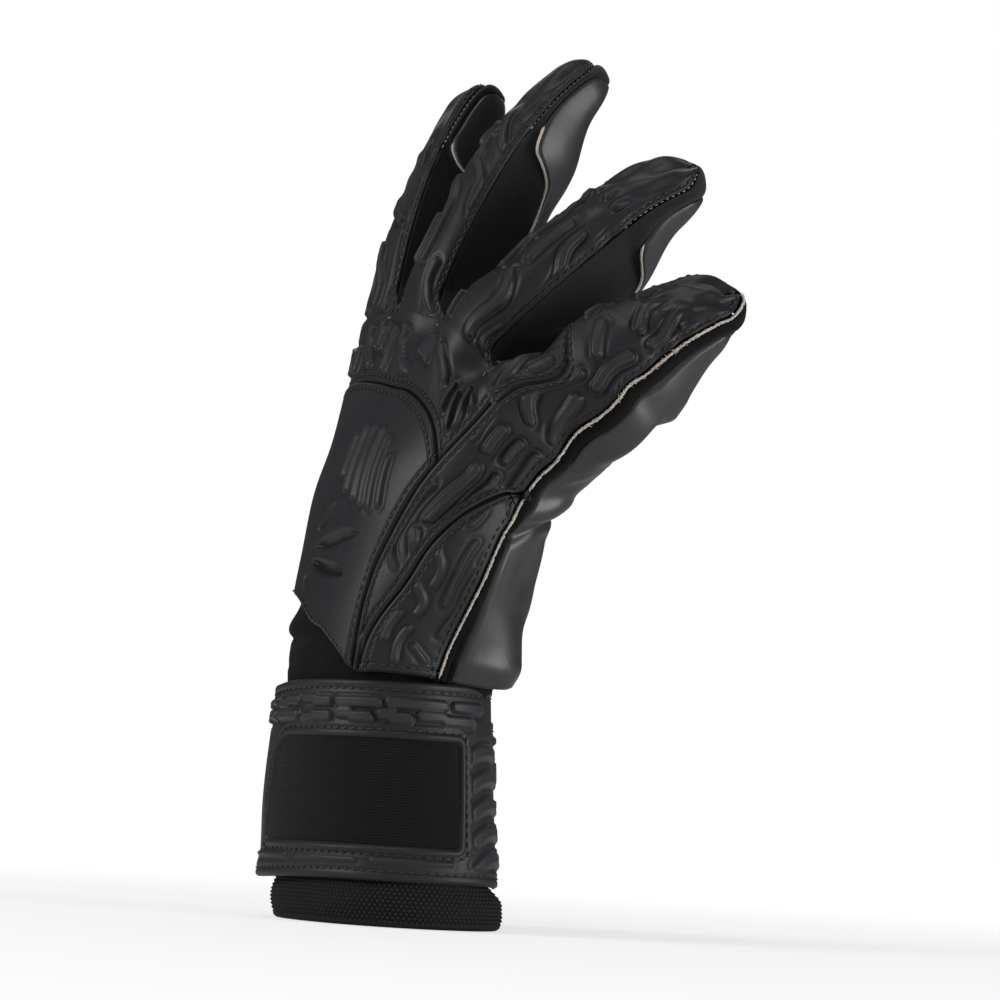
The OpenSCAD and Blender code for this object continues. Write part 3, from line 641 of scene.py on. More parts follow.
class Patch:
    """A grid of points on a surface, with its measures in millimetres."""

    def __init__(self, points, core, ring=False):
        self.base, self.points, self.ring = points, points, ring
        self.normals, self.wrong = outward(points, core, ring)
        widths = np.linalg.norm(np.diff(points, axis=1), axis=-1)
        from_left = np.concatenate([np.zeros((len(points), 1)), np.cumsum(widths, axis=1)], axis=1)
        heights = np.linalg.norm(np.diff(points, axis=0), axis=-1)
        self.low = np.concatenate([np.zeros((1, points.shape[1])), np.cumsum(heights, axis=0)], axis=0)
        self.high = self.low[-1:] - self.low
        self.left, self.right = from_left, from_left[:, -1:] - from_left
        middle = points.shape[1] // 2
        self.x = from_left - from_left[:, [middle]]
        self.y = np.broadcast_to(self.low[:, [middle]], self.x.shape)
        self.u, self.v = np.meshgrid(steps(points.shape[1]), steps(len(points)))
        self.height = np.zeros(self.x.shape)
        # painted light and shade of the piece: lighter where it stands proud, darker in grooves and hollows
        self.paint = np.zeros(self.x.shape)

    def raise_by(self, height):
        self.height = self.height + height
        self.points = self.base + self.normals * self.height[..., None]
        return self

    def turn_down(self, sides, depth=None, turn=None, fade=1.0):
        """The panel rounds down into the seams on the named sides."""
        depth = mm(sizes().seam_depth) if depth is None else depth
        turn = mm(sizes().seam_turn) if turn is None else turn
        drop = np.zeros(self.x.shape)
        for side in sides:
            near = np.clip(1 - getattr(self, side) / turn, 0, 1)
            drop = np.maximum(drop, 1 - np.sqrt(np.maximum(0, 1 - near**2)))
        return self.raise_by(-depth * drop * fade)

    def edge(self, sides):
        """Distance to the nearest of the named sides."""
        if not sides:
            return np.full(self.x.shape, FAR_AWAY)
        return np.minimum.reduce([getattr(self, side) for side in sides])

    def groove(self, sides, inset, depth=0.45, half=0.9):
        """The shallow trough in which a stitch row lies."""
        for side in sides:
            away = np.abs(getattr(self, side) - inset) / half
            self.raise_by(-depth * ease(1 - away))
        return self

    def row(self, side, inset):
        """A line over the raised surface at a distance inside one of its sides: points and normals."""
        grids = getattr(self, side), self.points, self.normals
        if side in ("low", "high"):
            grids = (np.swapaxes(grid, 0, 1) for grid in grids)
        line, normals = [], []
        for away, points, outs in zip(*grids):
            order = np.argsort(away)
            if away[order[-1]] < inset * 2:
                continue
            for found, values in ((line, points), (normals, outs)):
                found.append([np.interp(inset, away[order], values[order, c]) for c in range(3)])
        return np.array(line), np.array(normals)

    def line_over(self, places):
        """A line over the raised surface through places given in the patch's own millimetres."""
        p = evenly(places)
        v = np.interp(p[:, 1], self.y[:, 0], self.v[:, 0])
        row = np.rint(v * (len(self.v) - 1)).astype(int)
        u = np.array([np.interp(x, self.x[k], self.u[k]) for x, k in zip(p[:, 0], row)])
        return self.curve_on(u, v)

    def curve_on(self, xs, ys):
        """A line over the raised surface through places given in the patch's own 0 to 1 shares."""
        rows, cols = self.u.shape
        i = np.clip(np.asarray(xs) * (cols - 1), 0, cols - 1.001)
        j = np.clip(np.asarray(ys) * (rows - 1), 0, rows - 1.001)
        i0, j0 = i.astype(int), j.astype(int)
        fi, fj = (i - i0)[:, None], (j - j0)[:, None]

        def pick(grid):
            low = mix(grid[j0, i0], grid[j0, i0 + 1], fi)
            return mix(low, mix(grid[j0 + 1, i0], grid[j0 + 1, i0 + 1], fi), fj)

        return pick(self.points), pick(self.normals)


def evenly(places, gap=0.8):
    """The path with its points set at even distances."""
    p = np.array(places, float)
    far = np.concatenate([[0], np.cumsum(np.hypot(*np.diff(p, axis=0).T))])
    at = np.arange(0, far[-1], gap)
    return np.stack([np.interp(at, far, p[:, 0]), np.interp(at, far, p[:, 1])], axis=-1)


# Shares for the paths of the relief: going straight on, shift of a point, cut of a corner
STRAIGHT_ON, POINT_SHIFT, CORNER_CUT = 0.7, 0.13, 0.28
# Height and length of the waves by which the relief strays from its lattice
STRAY, STRAY_WAVE = 0.9, 26


def maze_paths(seed, x_range, y_range, pitch, longest, upright):
    """Paths over a lattice of points, each used once, that run one way and all slant to one side."""
    rng = np.random.default_rng(seed)
    columns = max(1, int((x_range[1] - x_range[0]) / pitch))
    rows = max(1, int((y_range[1] - y_range[0]) / pitch))
    left = (x_range[0] + x_range[1] - (columns - 1) * pitch) / 2
    low = (y_range[0] + y_range[1] - (rows - 1) * pitch) / 2
    order = [(i, j) for i in range(columns) for j in range(rows)]
    free = set(order)
    shift = rng.uniform(-POINT_SHIFT, POINT_SHIFT, (columns, rows, 2)) * pitch
    paths = []
    for k in rng.permutation(len(order)):
        spot = order[k]
        if spot not in free:
            continue
        free.discard(spot)
        cells = [spot]
        for _ in range(int(rng.integers(2, longest + 1))):
            i, j = cells[-1]
            asides = (0, 1) if rng.uniform() < STRAIGHT_ON else (1, 0)
            ahead = [(i + aside, j + 1) if upright else (i + 1, j + aside) for aside in asides]
            ahead = [cell for cell in ahead if cell in free]
            if not ahead:
                break
            cells.append(ahead[0])
            # a slanting step also takes the two points beside it, so that no paths cross
            free -= {ahead[0], (i, ahead[0][1]), (ahead[0][0], j)}
        if len(cells) > 1:
            paths.append(rounded([(left + i * pitch, low + j * pitch) + shift[i, j] for i, j in cells]))
    return paths


def rounded(places, times=2):
    """The path with its corners cut round."""
    p = np.array(places, float)
    for _ in range(times):
        if len(p) < 3:
            break
        near, far = mix(p[:-1], p[1:], CORNER_CUT), mix(p[1:], p[:-1], CORNER_CUT)
        between = np.stack([near, far], axis=1).reshape(-1, 2)
        p = np.vstack([p[:1], between[1:-1], p[-1:]])
    return p


def distance_to(x, y, paths, reach=6.0):
    """Distance of every place to the nearest path, told apart up to reach."""
    x, y = np.broadcast_arrays(x, y)
    best = np.full(x.shape, reach)
    for places in paths:
        p = np.array(places, float)
        low, high = p.min(axis=0) - reach, p.max(axis=0) + reach
        near = np.nonzero((x > low[0]) & (x < high[0]) & (y > low[1]) & (y < high[1]))
        px, py, least = x[near], y[near], best[near]
        for (x0, y0), (x1, y1) in zip(p[:-1], p[1:]):
            dx, dy = x1 - x0, y1 - y0
            f = np.clip(((px - x0) * dx + (py - y0) * dy) / max(dx * dx + dy * dy, 1e-9), 0, 1)
            least = np.minimum(least, np.hypot(px - x0 - f * dx, py - y0 - f * dy))
        best[near] = least
    return best


def bars(distance, half, height, rim=1.3):
    """Raised bars with rounded shoulders and a shallow moat beside them."""
    raised = ease((half + rim * 0.5 - distance) / rim)
    dished = 0.1 * ease(1 - distance / max(half * 0.8, 0.1))
    moat = 0.38 * np.exp(-(((distance - half - rim * 0.9) / 0.8) ** 2))
    return height * (raised - dished - moat)


def press_bars(patch, seed, sides, margin, pitch, half, height, longest, upright=True, fade=1.0, joined=()):
    """Presses bars along seeded paths into a panel, clear of the named sides and level at the joined ones."""
    reach = (patch.x.min(), patch.x.max()), (patch.y.min(), patch.y.max())
    paths = maze_paths(seed, *reach, pitch, longest, upright)
    x = patch.x + STRAY * ripple(patch.x, patch.y, seed + 11, STRAY_WAVE)
    y = patch.y + STRAY * ripple(patch.x, patch.y, seed + 12, STRAY_WAVE)
    clear = ease((patch.edge(sides) - margin + 1.2) / 1.6) * ease(patch.edge(joined) / 3.0)
    shape = bars(distance_to(x, y, paths), half, height) * clear * fade
    # painted highlight on the raised bars and painted shade in the moats beside them
    patch.paint = patch.paint + np.clip(shape / height, -0.6, 1)
    return patch.raise_by(shape)


# Distance under which points of a mesh are one, in metres
WELD = 4e-6


def link(obj):
    bpy.context.scene.collection.objects.link(obj)
    return obj


def add_piece(name, patch, material, thickness=0.0, weld=False):
    """Makes a piece from a patch: a bmesh grid moved to the patch's points, given a wall by Solidify."""
    rows, cols = patch.points.shape[:2]
    bm = bmesh.new()
    bm.loops.layers.uv.new("UVMap")
    bmesh.ops.create_grid(bm, x_segments=cols - 1, y_segments=rows - 1, size=0.5)
    mesh = bpy.data.meshes.new(name)
    bm.to_mesh(mesh)
    bm.free()
    co = np.empty(len(mesh.vertices) * 3)
    mesh.vertices.foreach_get("co", co)
    co = co.reshape(-1, 3)
    i = np.rint((co[:, 0] + 0.5) * (cols - 1)).astype(int)
    j = np.rint((co[:, 1] + 0.5) * (rows - 1)).astype(int)
    if patch.wrong:
        i = cols - 1 - i
    mesh.vertices.foreach_set("co", (patch.points[j, i] * MM).ravel())
    corners = np.empty(len(mesh.loops), dtype=np.int32)
    mesh.loops.foreach_get("vertex_index", corners)
    places = np.stack([patch.x[j, i], patch.y[j, i]], axis=-1)[corners] * 0.01
    mesh.uv_layers["UVMap"].data.foreach_set("uv", places.ravel())
    # the painted light and shade go to the materials as the relief attribute
    paint = mesh.attributes.new("relief", "FLOAT", "POINT")
    paint.data.foreach_set("value", patch.paint[j, i].astype(np.float32))
    mesh.polygons.foreach_set("use_smooth", np.ones(len(mesh.polygons), dtype=bool))
    ends = np.empty(len(mesh.edges) * 2, dtype=np.int32)
    mesh.edges.foreach_get("vertices", ends)
    a, b = ends.reshape(-1, 2).T
    border = ((j[a] == 0) & (j[b] == 0)) | ((j[a] == rows - 1) & (j[b] == rows - 1))
    if not patch.ring:
        border |= ((i[a] == 0) & (i[b] == 0)) | ((i[a] == cols - 1) & (i[b] == cols - 1))
    mesh.edges.foreach_set("use_edge_sharp", border)
    if weld:
        bm = bmesh.new()
        bm.from_mesh(mesh)
        bmesh.ops.remove_doubles(bm, verts=bm.verts, dist=WELD)
        bm.to_mesh(mesh)
        bm.free()
    mesh.update()
    obj = link(bpy.data.objects.new(name, mesh))
    mesh.materials.append(material)
    if thickness:
        wall = obj.modifiers.new("Wall", "SOLIDIFY")
        wall.thickness = thickness
        wall.offset = -1.0
    return obj


def from_bmesh(name, bm, material, smooth=True):
    mesh = bpy.data.meshes.new(name)
    bm.to_mesh(mesh)
    bm.free()
    if smooth:
        mesh.polygons.foreach_set("use_smooth", np.ones(len(mesh.polygons), dtype=bool))
    mesh.materials.append(material)
    return link(bpy.data.objects.new(name, mesh))


def spaced(line, normals, gap, start=0.0):
    """Places along a line at even distances: points, directions and normals."""
    lengths = np.concatenate([[0], np.cumsum(np.linalg.norm(np.diff(line, axis=0), axis=1))])
    at = np.arange(start, lengths[-1] - 1e-6, gap)

    def pick(values, where):
        return np.stack([np.interp(where, lengths, values[:, c]) for c in range(3)], axis=-1)

    ahead = pick(line, np.minimum(at + 0.4, lengths[-1])) - pick(line, np.maximum(at - 0.4, 0))
    return pick(line, at), ahead, pick(normals, at)


def add_stitches(bm, line, normals, sink=0.0, scale=1.0):
    """Lays one row of stitches along a line: short rounded threads with a gap between them."""
    if len(line) < 2:
        return
    s = sizes()
    radius = mm(s.thread) * min(1, scale + 0.1)
    half = mm(s.stitch) / 2 * scale
    points, ahead, ups = spaced(line, normals, mm(s.stitch + s.stitch_gap) * scale, half + 0.6)
    for p, d, n in zip(points, ahead, ups):
        x = Vector(d).normalized()
        z = Vector(n) - x * x.dot(Vector(n))
        if x.length < 0.5 or z.length < 1e-6:
            continue
        z.normalize()
        y = z.cross(x)
        turn = Matrix((x * half, y * radius, z * radius * 1.2)).transposed().to_4x4()
        turn.translation = Vector(p) + z * (radius * 0.55 - sink)
        place = Matrix.Scale(MM, 4) @ turn
        bmesh.ops.create_uvsphere(bm, u_segments=6, v_segments=4, radius=1.0, matrix=place)


def stitch_rows(bm, patch, rows):
    """Lays stitch rows over a patch, each at a distance inside one of its sides."""
    for side, distance in rows:
        add_stitches(bm, *patch.row(side, distance))


# Distance between the rings of a tube, and the sides that it has
TUBE_STEP, TUBE_SIDES = 0.5, 8


def tube(name, line, normals, radius, rough, seed, flat=1.0):
    """A raw edge laid along a line, pointed at its ends; rough is the share by which it is uneven."""
    points, ahead, ups = spaced(line, normals, TUBE_STEP)
    ahead = ahead / np.maximum(np.linalg.norm(ahead, axis=1, keepdims=True), 1e-9)
    ups = ups - ahead * np.sum(ups * ahead, axis=1, keepdims=True)
    ups = ups / np.maximum(np.linalg.norm(ups, axis=1, keepdims=True), 1e-9)
    aside = np.cross(ups, ahead)
    turn = np.linspace(0, 2 * np.pi, TUBE_SIDES + 1)
    rng = np.random.default_rng(seed)
    from_start = np.arange(len(points))
    wide = radius * np.minimum(1, np.minimum(from_start, from_start[::-1]) / 3 + 0.15)
    uneven = 1 + rough * rng.uniform(-1, 1, (len(points), TUBE_SIDES))
    uneven = np.concatenate([uneven, uneven[:, :1]], axis=1)
    ring_a = np.cos(turn)[None, :, None] * aside[:, None, :]
    ring_b = flat * np.sin(turn)[None, :, None] * ups[:, None, :]
    grid = points[:, None, :] + (wide[:, None] * uneven)[..., None] * (ring_a + ring_b)
    patch = Patch(grid, np.repeat(points[:, None, :], TUBE_SIDES + 1, axis=1), ring=True)
    return add_piece(name, patch, material("cream"), weld=True)


# Materials
def plug(tree, sockets, values):
    """Links or sets a node's sockets, by name or place."""
    for key, value in values.items():
        if isinstance(value, Socket):
            tree.links.new(value.socket, sockets[key])
        else:
            sockets[key].default_value = value


class Socket:
    """A shader socket that takes part in Python expressions."""

    def __init__(self, tree, socket=None):
        self.tree, self.socket = tree, socket

    def node(self, kind, settings=None, inputs=None, output=0):
        """Adds a node: settings first, then the values or links of its sockets."""
        made = self.tree.nodes.new(kind)
        for key, value in (settings or {}).items():
            setattr(made, key, value)
        plug(self.tree, made.inputs, inputs or {})
        return Socket(self.tree, made.outputs[output])

    def math(self, operation, first, second):
        """Adds a Math node."""
        return self.node("ShaderNodeMath", {"operation": operation}, {0: first, 1: second})

    def __add__(self, other):
        return self.math("ADD", self, other)

    def __sub__(self, other):
        return self.math("SUBTRACT", self, other)

    def __rsub__(self, other):
        return self.math("SUBTRACT", other, self)

    def __mul__(self, other):
        return self.math("MULTIPLY", self, other)

    __radd__, __rmul__ = __add__, __mul__


def tint(rgb, factor=1.0):
    return tuple(min(1.0, c * factor) for c in rgb) + (1.0,)


class Finish:
    """A material under way: its coordinates, and the sockets that its surface ends in."""

    def __init__(self, name):
        self.material = bpy.data.materials.new(name)
        self.material.use_nodes = True
        self.tree = self.material.node_tree
        self.shader = self.tree.nodes["Principled BSDF"]
        self.start = Socket(self.tree)
        self.place = self.start.node("ShaderNodeTexCoord", output="Object")
        self.cloth = self.start.node("ShaderNodeUVMap", {"uv_map": "UVMap"})

    def noise(self, scale, detail=2.0):
        inputs = {"Vector": self.place, "Scale": scale, "Detail": detail}
        return self.start.node("ShaderNodeTexNoise", None, inputs)

    def wave(self, axis, scale, twist=0.0):
        inputs = {"Vector": self.cloth, "Scale": scale, "Distortion": twist, "Detail": 1.0}
        return self.start.node("ShaderNodeTexWave", {"bands_direction": axis}, inputs)

    # painted light and shade of a piece: lighter on what stands proud, darker in grooves, moats and darts
    def relief(self):
        return self.start.node("ShaderNodeAttribute", {"attribute_name": "relief"}, output="Fac")

    def bump(self, height, strength, distance):
        normal = self.start.node(
            "ShaderNodeBump", None, {"Height": height, "Strength": strength, "Distance": distance}
        )
        plug(self.tree, self.shader.inputs, {"Normal": normal})

    def feed(self, rgb, tone, dark, light, **values):
        """Colours the surface from dark to light by tone, and sets its other values."""
        shades = {"Factor": tone, "A": tint(rgb, dark), "B": tint(rgb, light)}
        values["base_color"] = self.start.node("ShaderNodeMix", {"data_type": "RGBA"}, shades, "Result")
        named = {key.replace("_", " ").title().replace("Ior", "IOR"): value for key, value in values.items()}
        plug(self.tree, self.shader.inputs, named)
        return self.material

    def cloth_feed(self, rgb, tone, dark, light, rough, sheen, sheen_rough):
        """Feeds the finish of a fabric: matt, with a sheen."""
        return self.feed(
            rgb, tone, dark, light, roughness=rough, specular_ior_level=0.1,
            sheen_weight=sheen, sheen_roughness=sheen_rough,
        )


def latex(name, rgb, rough):
    """Matt latex foam: a fine grain and cloudy tone, with a painted highlight on what stands proud and
    painted shade in its grooves.
    """
    finish = Finish(name)
    fine, middle, cloud = finish.noise(2400.0), finish.noise(700.0, 3.0), finish.noise(45.0, 3.0)
    # the relief attribute adds painted highlight on raised bars and plates and painted shade in grooves,
    # moats and darts
    tone = cloud * 0.4 + middle * 0.25 + fine * 0.35 + finish.relief() * 0.4 - 0.08
    finish.bump(fine * 0.6 + middle * 0.4, strength=0.3, distance=0.0004)
    rough = (cloud - 0.5) * 0.16 + rough
    return finish.feed(rgb, tone, dark=0.3, light=1.7, roughness=rough, specular_ior_level=0.27)


def palm_foam(name, rgb):
    """Smooth latex of the palm: silky, with faint pores and cloudy wear."""
    finish = Finish(name)
    fine, cloud, wear = finish.noise(3000.0), finish.noise(70.0, 4.0), finish.noise(18.0, 2.0)
    tone = cloud * 0.5 + wear * 0.3 + fine * 0.2
    finish.bump(fine * 0.4 + finish.noise(260.0, 3.0) * 0.6, strength=0.2, distance=0.0005)
    rough = (cloud - 0.5) * 0.24 + 0.4
    return finish.feed(rgb, tone, dark=0.6, light=1.45, roughness=rough, specular_ior_level=0.5)


def knitted(name, rgb, ribs, rows, strength, sheen=0.1):
    """Ribbed knit: ribs along the piece, loops across them."""
    finish = Finish(name)
    rib, loop, fuzz = finish.wave("X", ribs), finish.wave("Y", rows, twist=0.4), finish.noise(1800.0)
    yarn = rib * 0.6 + rib * loop * 0.4
    finish.bump(yarn * 0.85 + fuzz * 0.15, strength, distance=0.0004)
    # the yarn's tone gives painted highlight on the ribs' crests and painted shade between them; the fuzz is
    # random tone
    return finish.cloth_feed(rgb, yarn * 0.5 + fuzz * 0.5, 0.6, 1.4, fuzz * 0.1 + 0.82, sheen, 0.5)


def window_knit(name, rgb):
    """Knit of the strap's window: fine level rows that catch the light."""
    finish = Finish(name)
    fuzz, loop = finish.noise(2100.0), finish.noise(700.0, 2.0)
    # the relief attribute adds painted highlight on the rows' crests and painted shade in their troughs
    tone = finish.relief() * 0.5 + fuzz * 0.35 + loop * 0.15
    finish.bump(fuzz * 0.7 + loop * 0.3, strength=0.6, distance=0.0004)
    return finish.cloth_feed(rgb, tone, 0.45, 1.7, 0.85, 0.1, 0.5)


def looped(name, rgb):
    """Touch fabric: a dense felt of tiny loops."""
    finish = Finish(name)
    pile = finish.noise(1500.0, 3.0) * 0.6 + finish.noise(4200.0) * 0.4
    finish.bump(pile, strength=0.8, distance=0.0005)
    return finish.cloth_feed(rgb, pile, 0.5, 1.6, 0.9, 0.15, 0.6)


def meshed(name, rgb):
    """Spacer mesh of the hem: painted shade in the holes and a painted highlight on the yarns between them.
    """
    finish = Finish(name)
    fuzz = finish.noise(2600.0)
    tone = finish.relief() * 0.85 + fuzz * 0.15
    finish.bump(fuzz, strength=0.5, distance=0.0003)
    rough = fuzz * 0.1 + 0.62
    return finish.feed(rgb, tone, dark=0.08, light=3.2, roughness=rough, specular_ior_level=0.16)


def raw_cloth(name, rgb):
    """Cut edge of foam and its backing: pale, fibrous and a little dirty."""
    finish = Finish(name)
    fibre, dirt = finish.noise(1900.0, 3.0), finish.noise(160.0, 3.0)
    tone = dirt * 0.7 + fibre * 0.5
    finish.bump(fibre, strength=0.9, distance=0.0005)
    return finish.feed(rgb, tone, dark=0.45, light=1.25, roughness=0.9, specular_ior_level=0.1)


def thread(name, rgb):
    """Twisted sewing thread."""
    finish = Finish(name)
    twist = finish.noise(2200.0)
    finish.bump(twist, strength=0.5, distance=0.0002)
    return finish.feed(rgb, twist, dark=0.6, light=1.5, roughness=0.45)


MATERIALS = {}
# Shade of the tacks against that of the sewing thread
TACK_LIGHTER = 8


def material(key):
    """The finish of that name, made when it is first asked for."""
    if key not in MATERIALS:
        c = bpy.context.scene.glove_colours
        makers = {
            "back": lambda: latex("Back latex", c.back, rough=0.46),
            "strap": lambda: latex("Strap latex", c.strap, rough=0.48),
            "palm": lambda: palm_foam("Palm latex", c.palm),
            "knit": lambda: knitted("Gusset knit", c.knit, 46.0, 60.0, strength=0.5),
            "sleeve": lambda: knitted("Sleeve knit", c.sleeve, 27.0, 24.0, strength=0.6, sheen=0.03),
            "window": lambda: window_knit("Window knit", c.touch),
            "band": lambda: knitted("Edge band", c.sleeve, 46.0, 46.0, strength=0.5, sheen=0.04),
            "lining": lambda: knitted("Lining knit", c.lining, 30.0, 30.0, strength=0.5),
            "touch": lambda: looped("Touch fabric", c.touch),
            "mesh": lambda: meshed("Hem mesh", c.mesh),
            "cream": lambda: raw_cloth("Raw edge", c.cream),
            "thread": lambda: thread("Sewing thread", c.thread),
            "tack": lambda: thread("Tack thread", [TACK_LIGHTER * v for v in c.thread]),
        }
        MATERIALS[key] = makers[key]()
    return MATERIALS[key]


def dress(obj, nodes=(), body=None, finger=None):
    """Hides the frame's nodes that a piece stands for, and parents it to the body it moves with; pieces of a
    finger, the hand or the strap's free end only have their transform baked.
    """
    if nodes:
        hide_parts(*nodes)
    if finger:
        finger.blend(obj)
    elif body in ("hand", "strap_end"):
        start, end = WRIST_BEND if body == "hand" else tail_bend()
        tuple(start * MM)
        tuple(end * MM)
        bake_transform(obj)
    elif body:
        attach(obj, body)
    return obj


# Tapes up to this width in metres aren't sheets, and the least share of its box that a sheet may fill
TAPE_WIDTH, LEAST_SHARE = 0.0102, 0.31


def declare_cloth(patch):
    """Measures the width, length and area of the sheet that a thin piece was cut as; a narrow tape is
    skipped, and the measures aren't kept.
    """
    now = Patch(patch.points, patch.points - patch.normals, patch.ring)
    width = float(np.median(now.left[:, -1])) * MM
    long = float(np.max(now.low[-1])) * MM
    if min(width, long) < TAPE_WIDTH:
        return
    quads = np.cross(np.diff(now.base, axis=1)[:-1], np.diff(now.base, axis=0)[:, :-1])
    area = float(np.linalg.norm(quads, axis=-1).sum()) * MM * MM
    box = width * long
    area = min(max(area, LEAST_SHARE * box), box)


def add_cloth(name, patch, key, slot, nodes, rests_on, body=None, finger=None, wall=None, weld=False):
    """Makes a thin piece from a patch, dresses it and measures the sheet that it was cut as."""
    obj = add_piece(name, patch, material(key), sizes().knit if wall is None else wall, weld)
    dress(obj, nodes, body, finger)
    declare_cloth(patch)
    return obj


def add_sewing(name, bm, key, body=None, finger=None):
    """Makes a piece of the stitches or fibres in a bmesh."""
    return dress(from_bmesh(name, bm, material(key)), (), body, finger)


def hand_patch(low_u, high_u, low_t, high_t, cols, rows):
    """A patch of the hand between two lines of angle and two lines of level."""
    f, v = np.meshgrid(steps(cols), steps(rows))
    t = mix(0.0, 80.0, v)
    # angle and level depend on each other, so both are found in turns
    for _ in range(30):
        u = mix(low_u(t), high_u(t), f)
        t = mix(low_t(u), high_t(u), v)
    patch = Patch(hand_surface(u, t), hand_core(t))
    patch.angle, patch.level = u, t
    return patch


def spot(patch, u, t):
    """Place on a patch of the hand, in its own millimetres, of an angle and a level."""
    far = ((patch.angle - u) * 0.9) ** 2 + (patch.level - t) ** 2
    k = np.unravel_index(np.argmin(far), far.shape)
    return patch.x[k], patch.y[k]


def soften(patch, seed, height=0.5, wave=38.0, joined=(), sink=0.0):
    """Slow unevenness of a soft panel, level at the sides where it runs on."""
    uneven = height * ripple(patch.x, patch.y, seed, wave) - sink
    return patch.raise_by(uneven * ease(patch.edge(joined) / 7.0))


def seam_line(u, t, beside_it):
    """Points and normals of a line over the hand; the normals come from the angles beside it."""
    grid = hand_surface(u[:, None] + beside_it * np.array([-1, 0, 1]), t[:, None] + np.zeros(3))
    return grid[:, 1], outward(grid, hand_core(t)[:, None, :])[0][:, 1]


# Bars of the relief: room to the seams, distance apart, half width and height
BIG_BARS = {"margin": 4.6, "pitch": 7.0, "half": 1.45, "height": 1.4}
FINE_BARS = {"margin": 4.2, "pitch": 5.4, "half": 0.7, "height": 0.75}
# Angles of the crotches between the fingers, and of the tacks beside them
CROTCHES, TACK_SHIFTS = (59.0, 88.0, 111.0), (-1.0, -0.3, 0.4, 1.1)
# Round field of flex bars: angle and level of its middle, then the bars' places across it
FLEX_SPOT, FLEX_ASIDE = (89, 55), (-16, -9.6, -3.2, 3.2, 9.6, 16)
# Its half width and half height, and the bars' slant
FLEX_WIDE, FLEX_HIGH, FLEX_SLANT = 20, 12, 0.5
# Darts of the fan above the wrist, from angle and level to angle and level; their half width and depth
DARTS = (((108, 33), (95, 42)), ((107, 28), (80, 31)), ((107, 23), (82, 17)), ((110, 19), (98, 6)))
DART_HALF, DART_DEPTH = 2.9, 2.4


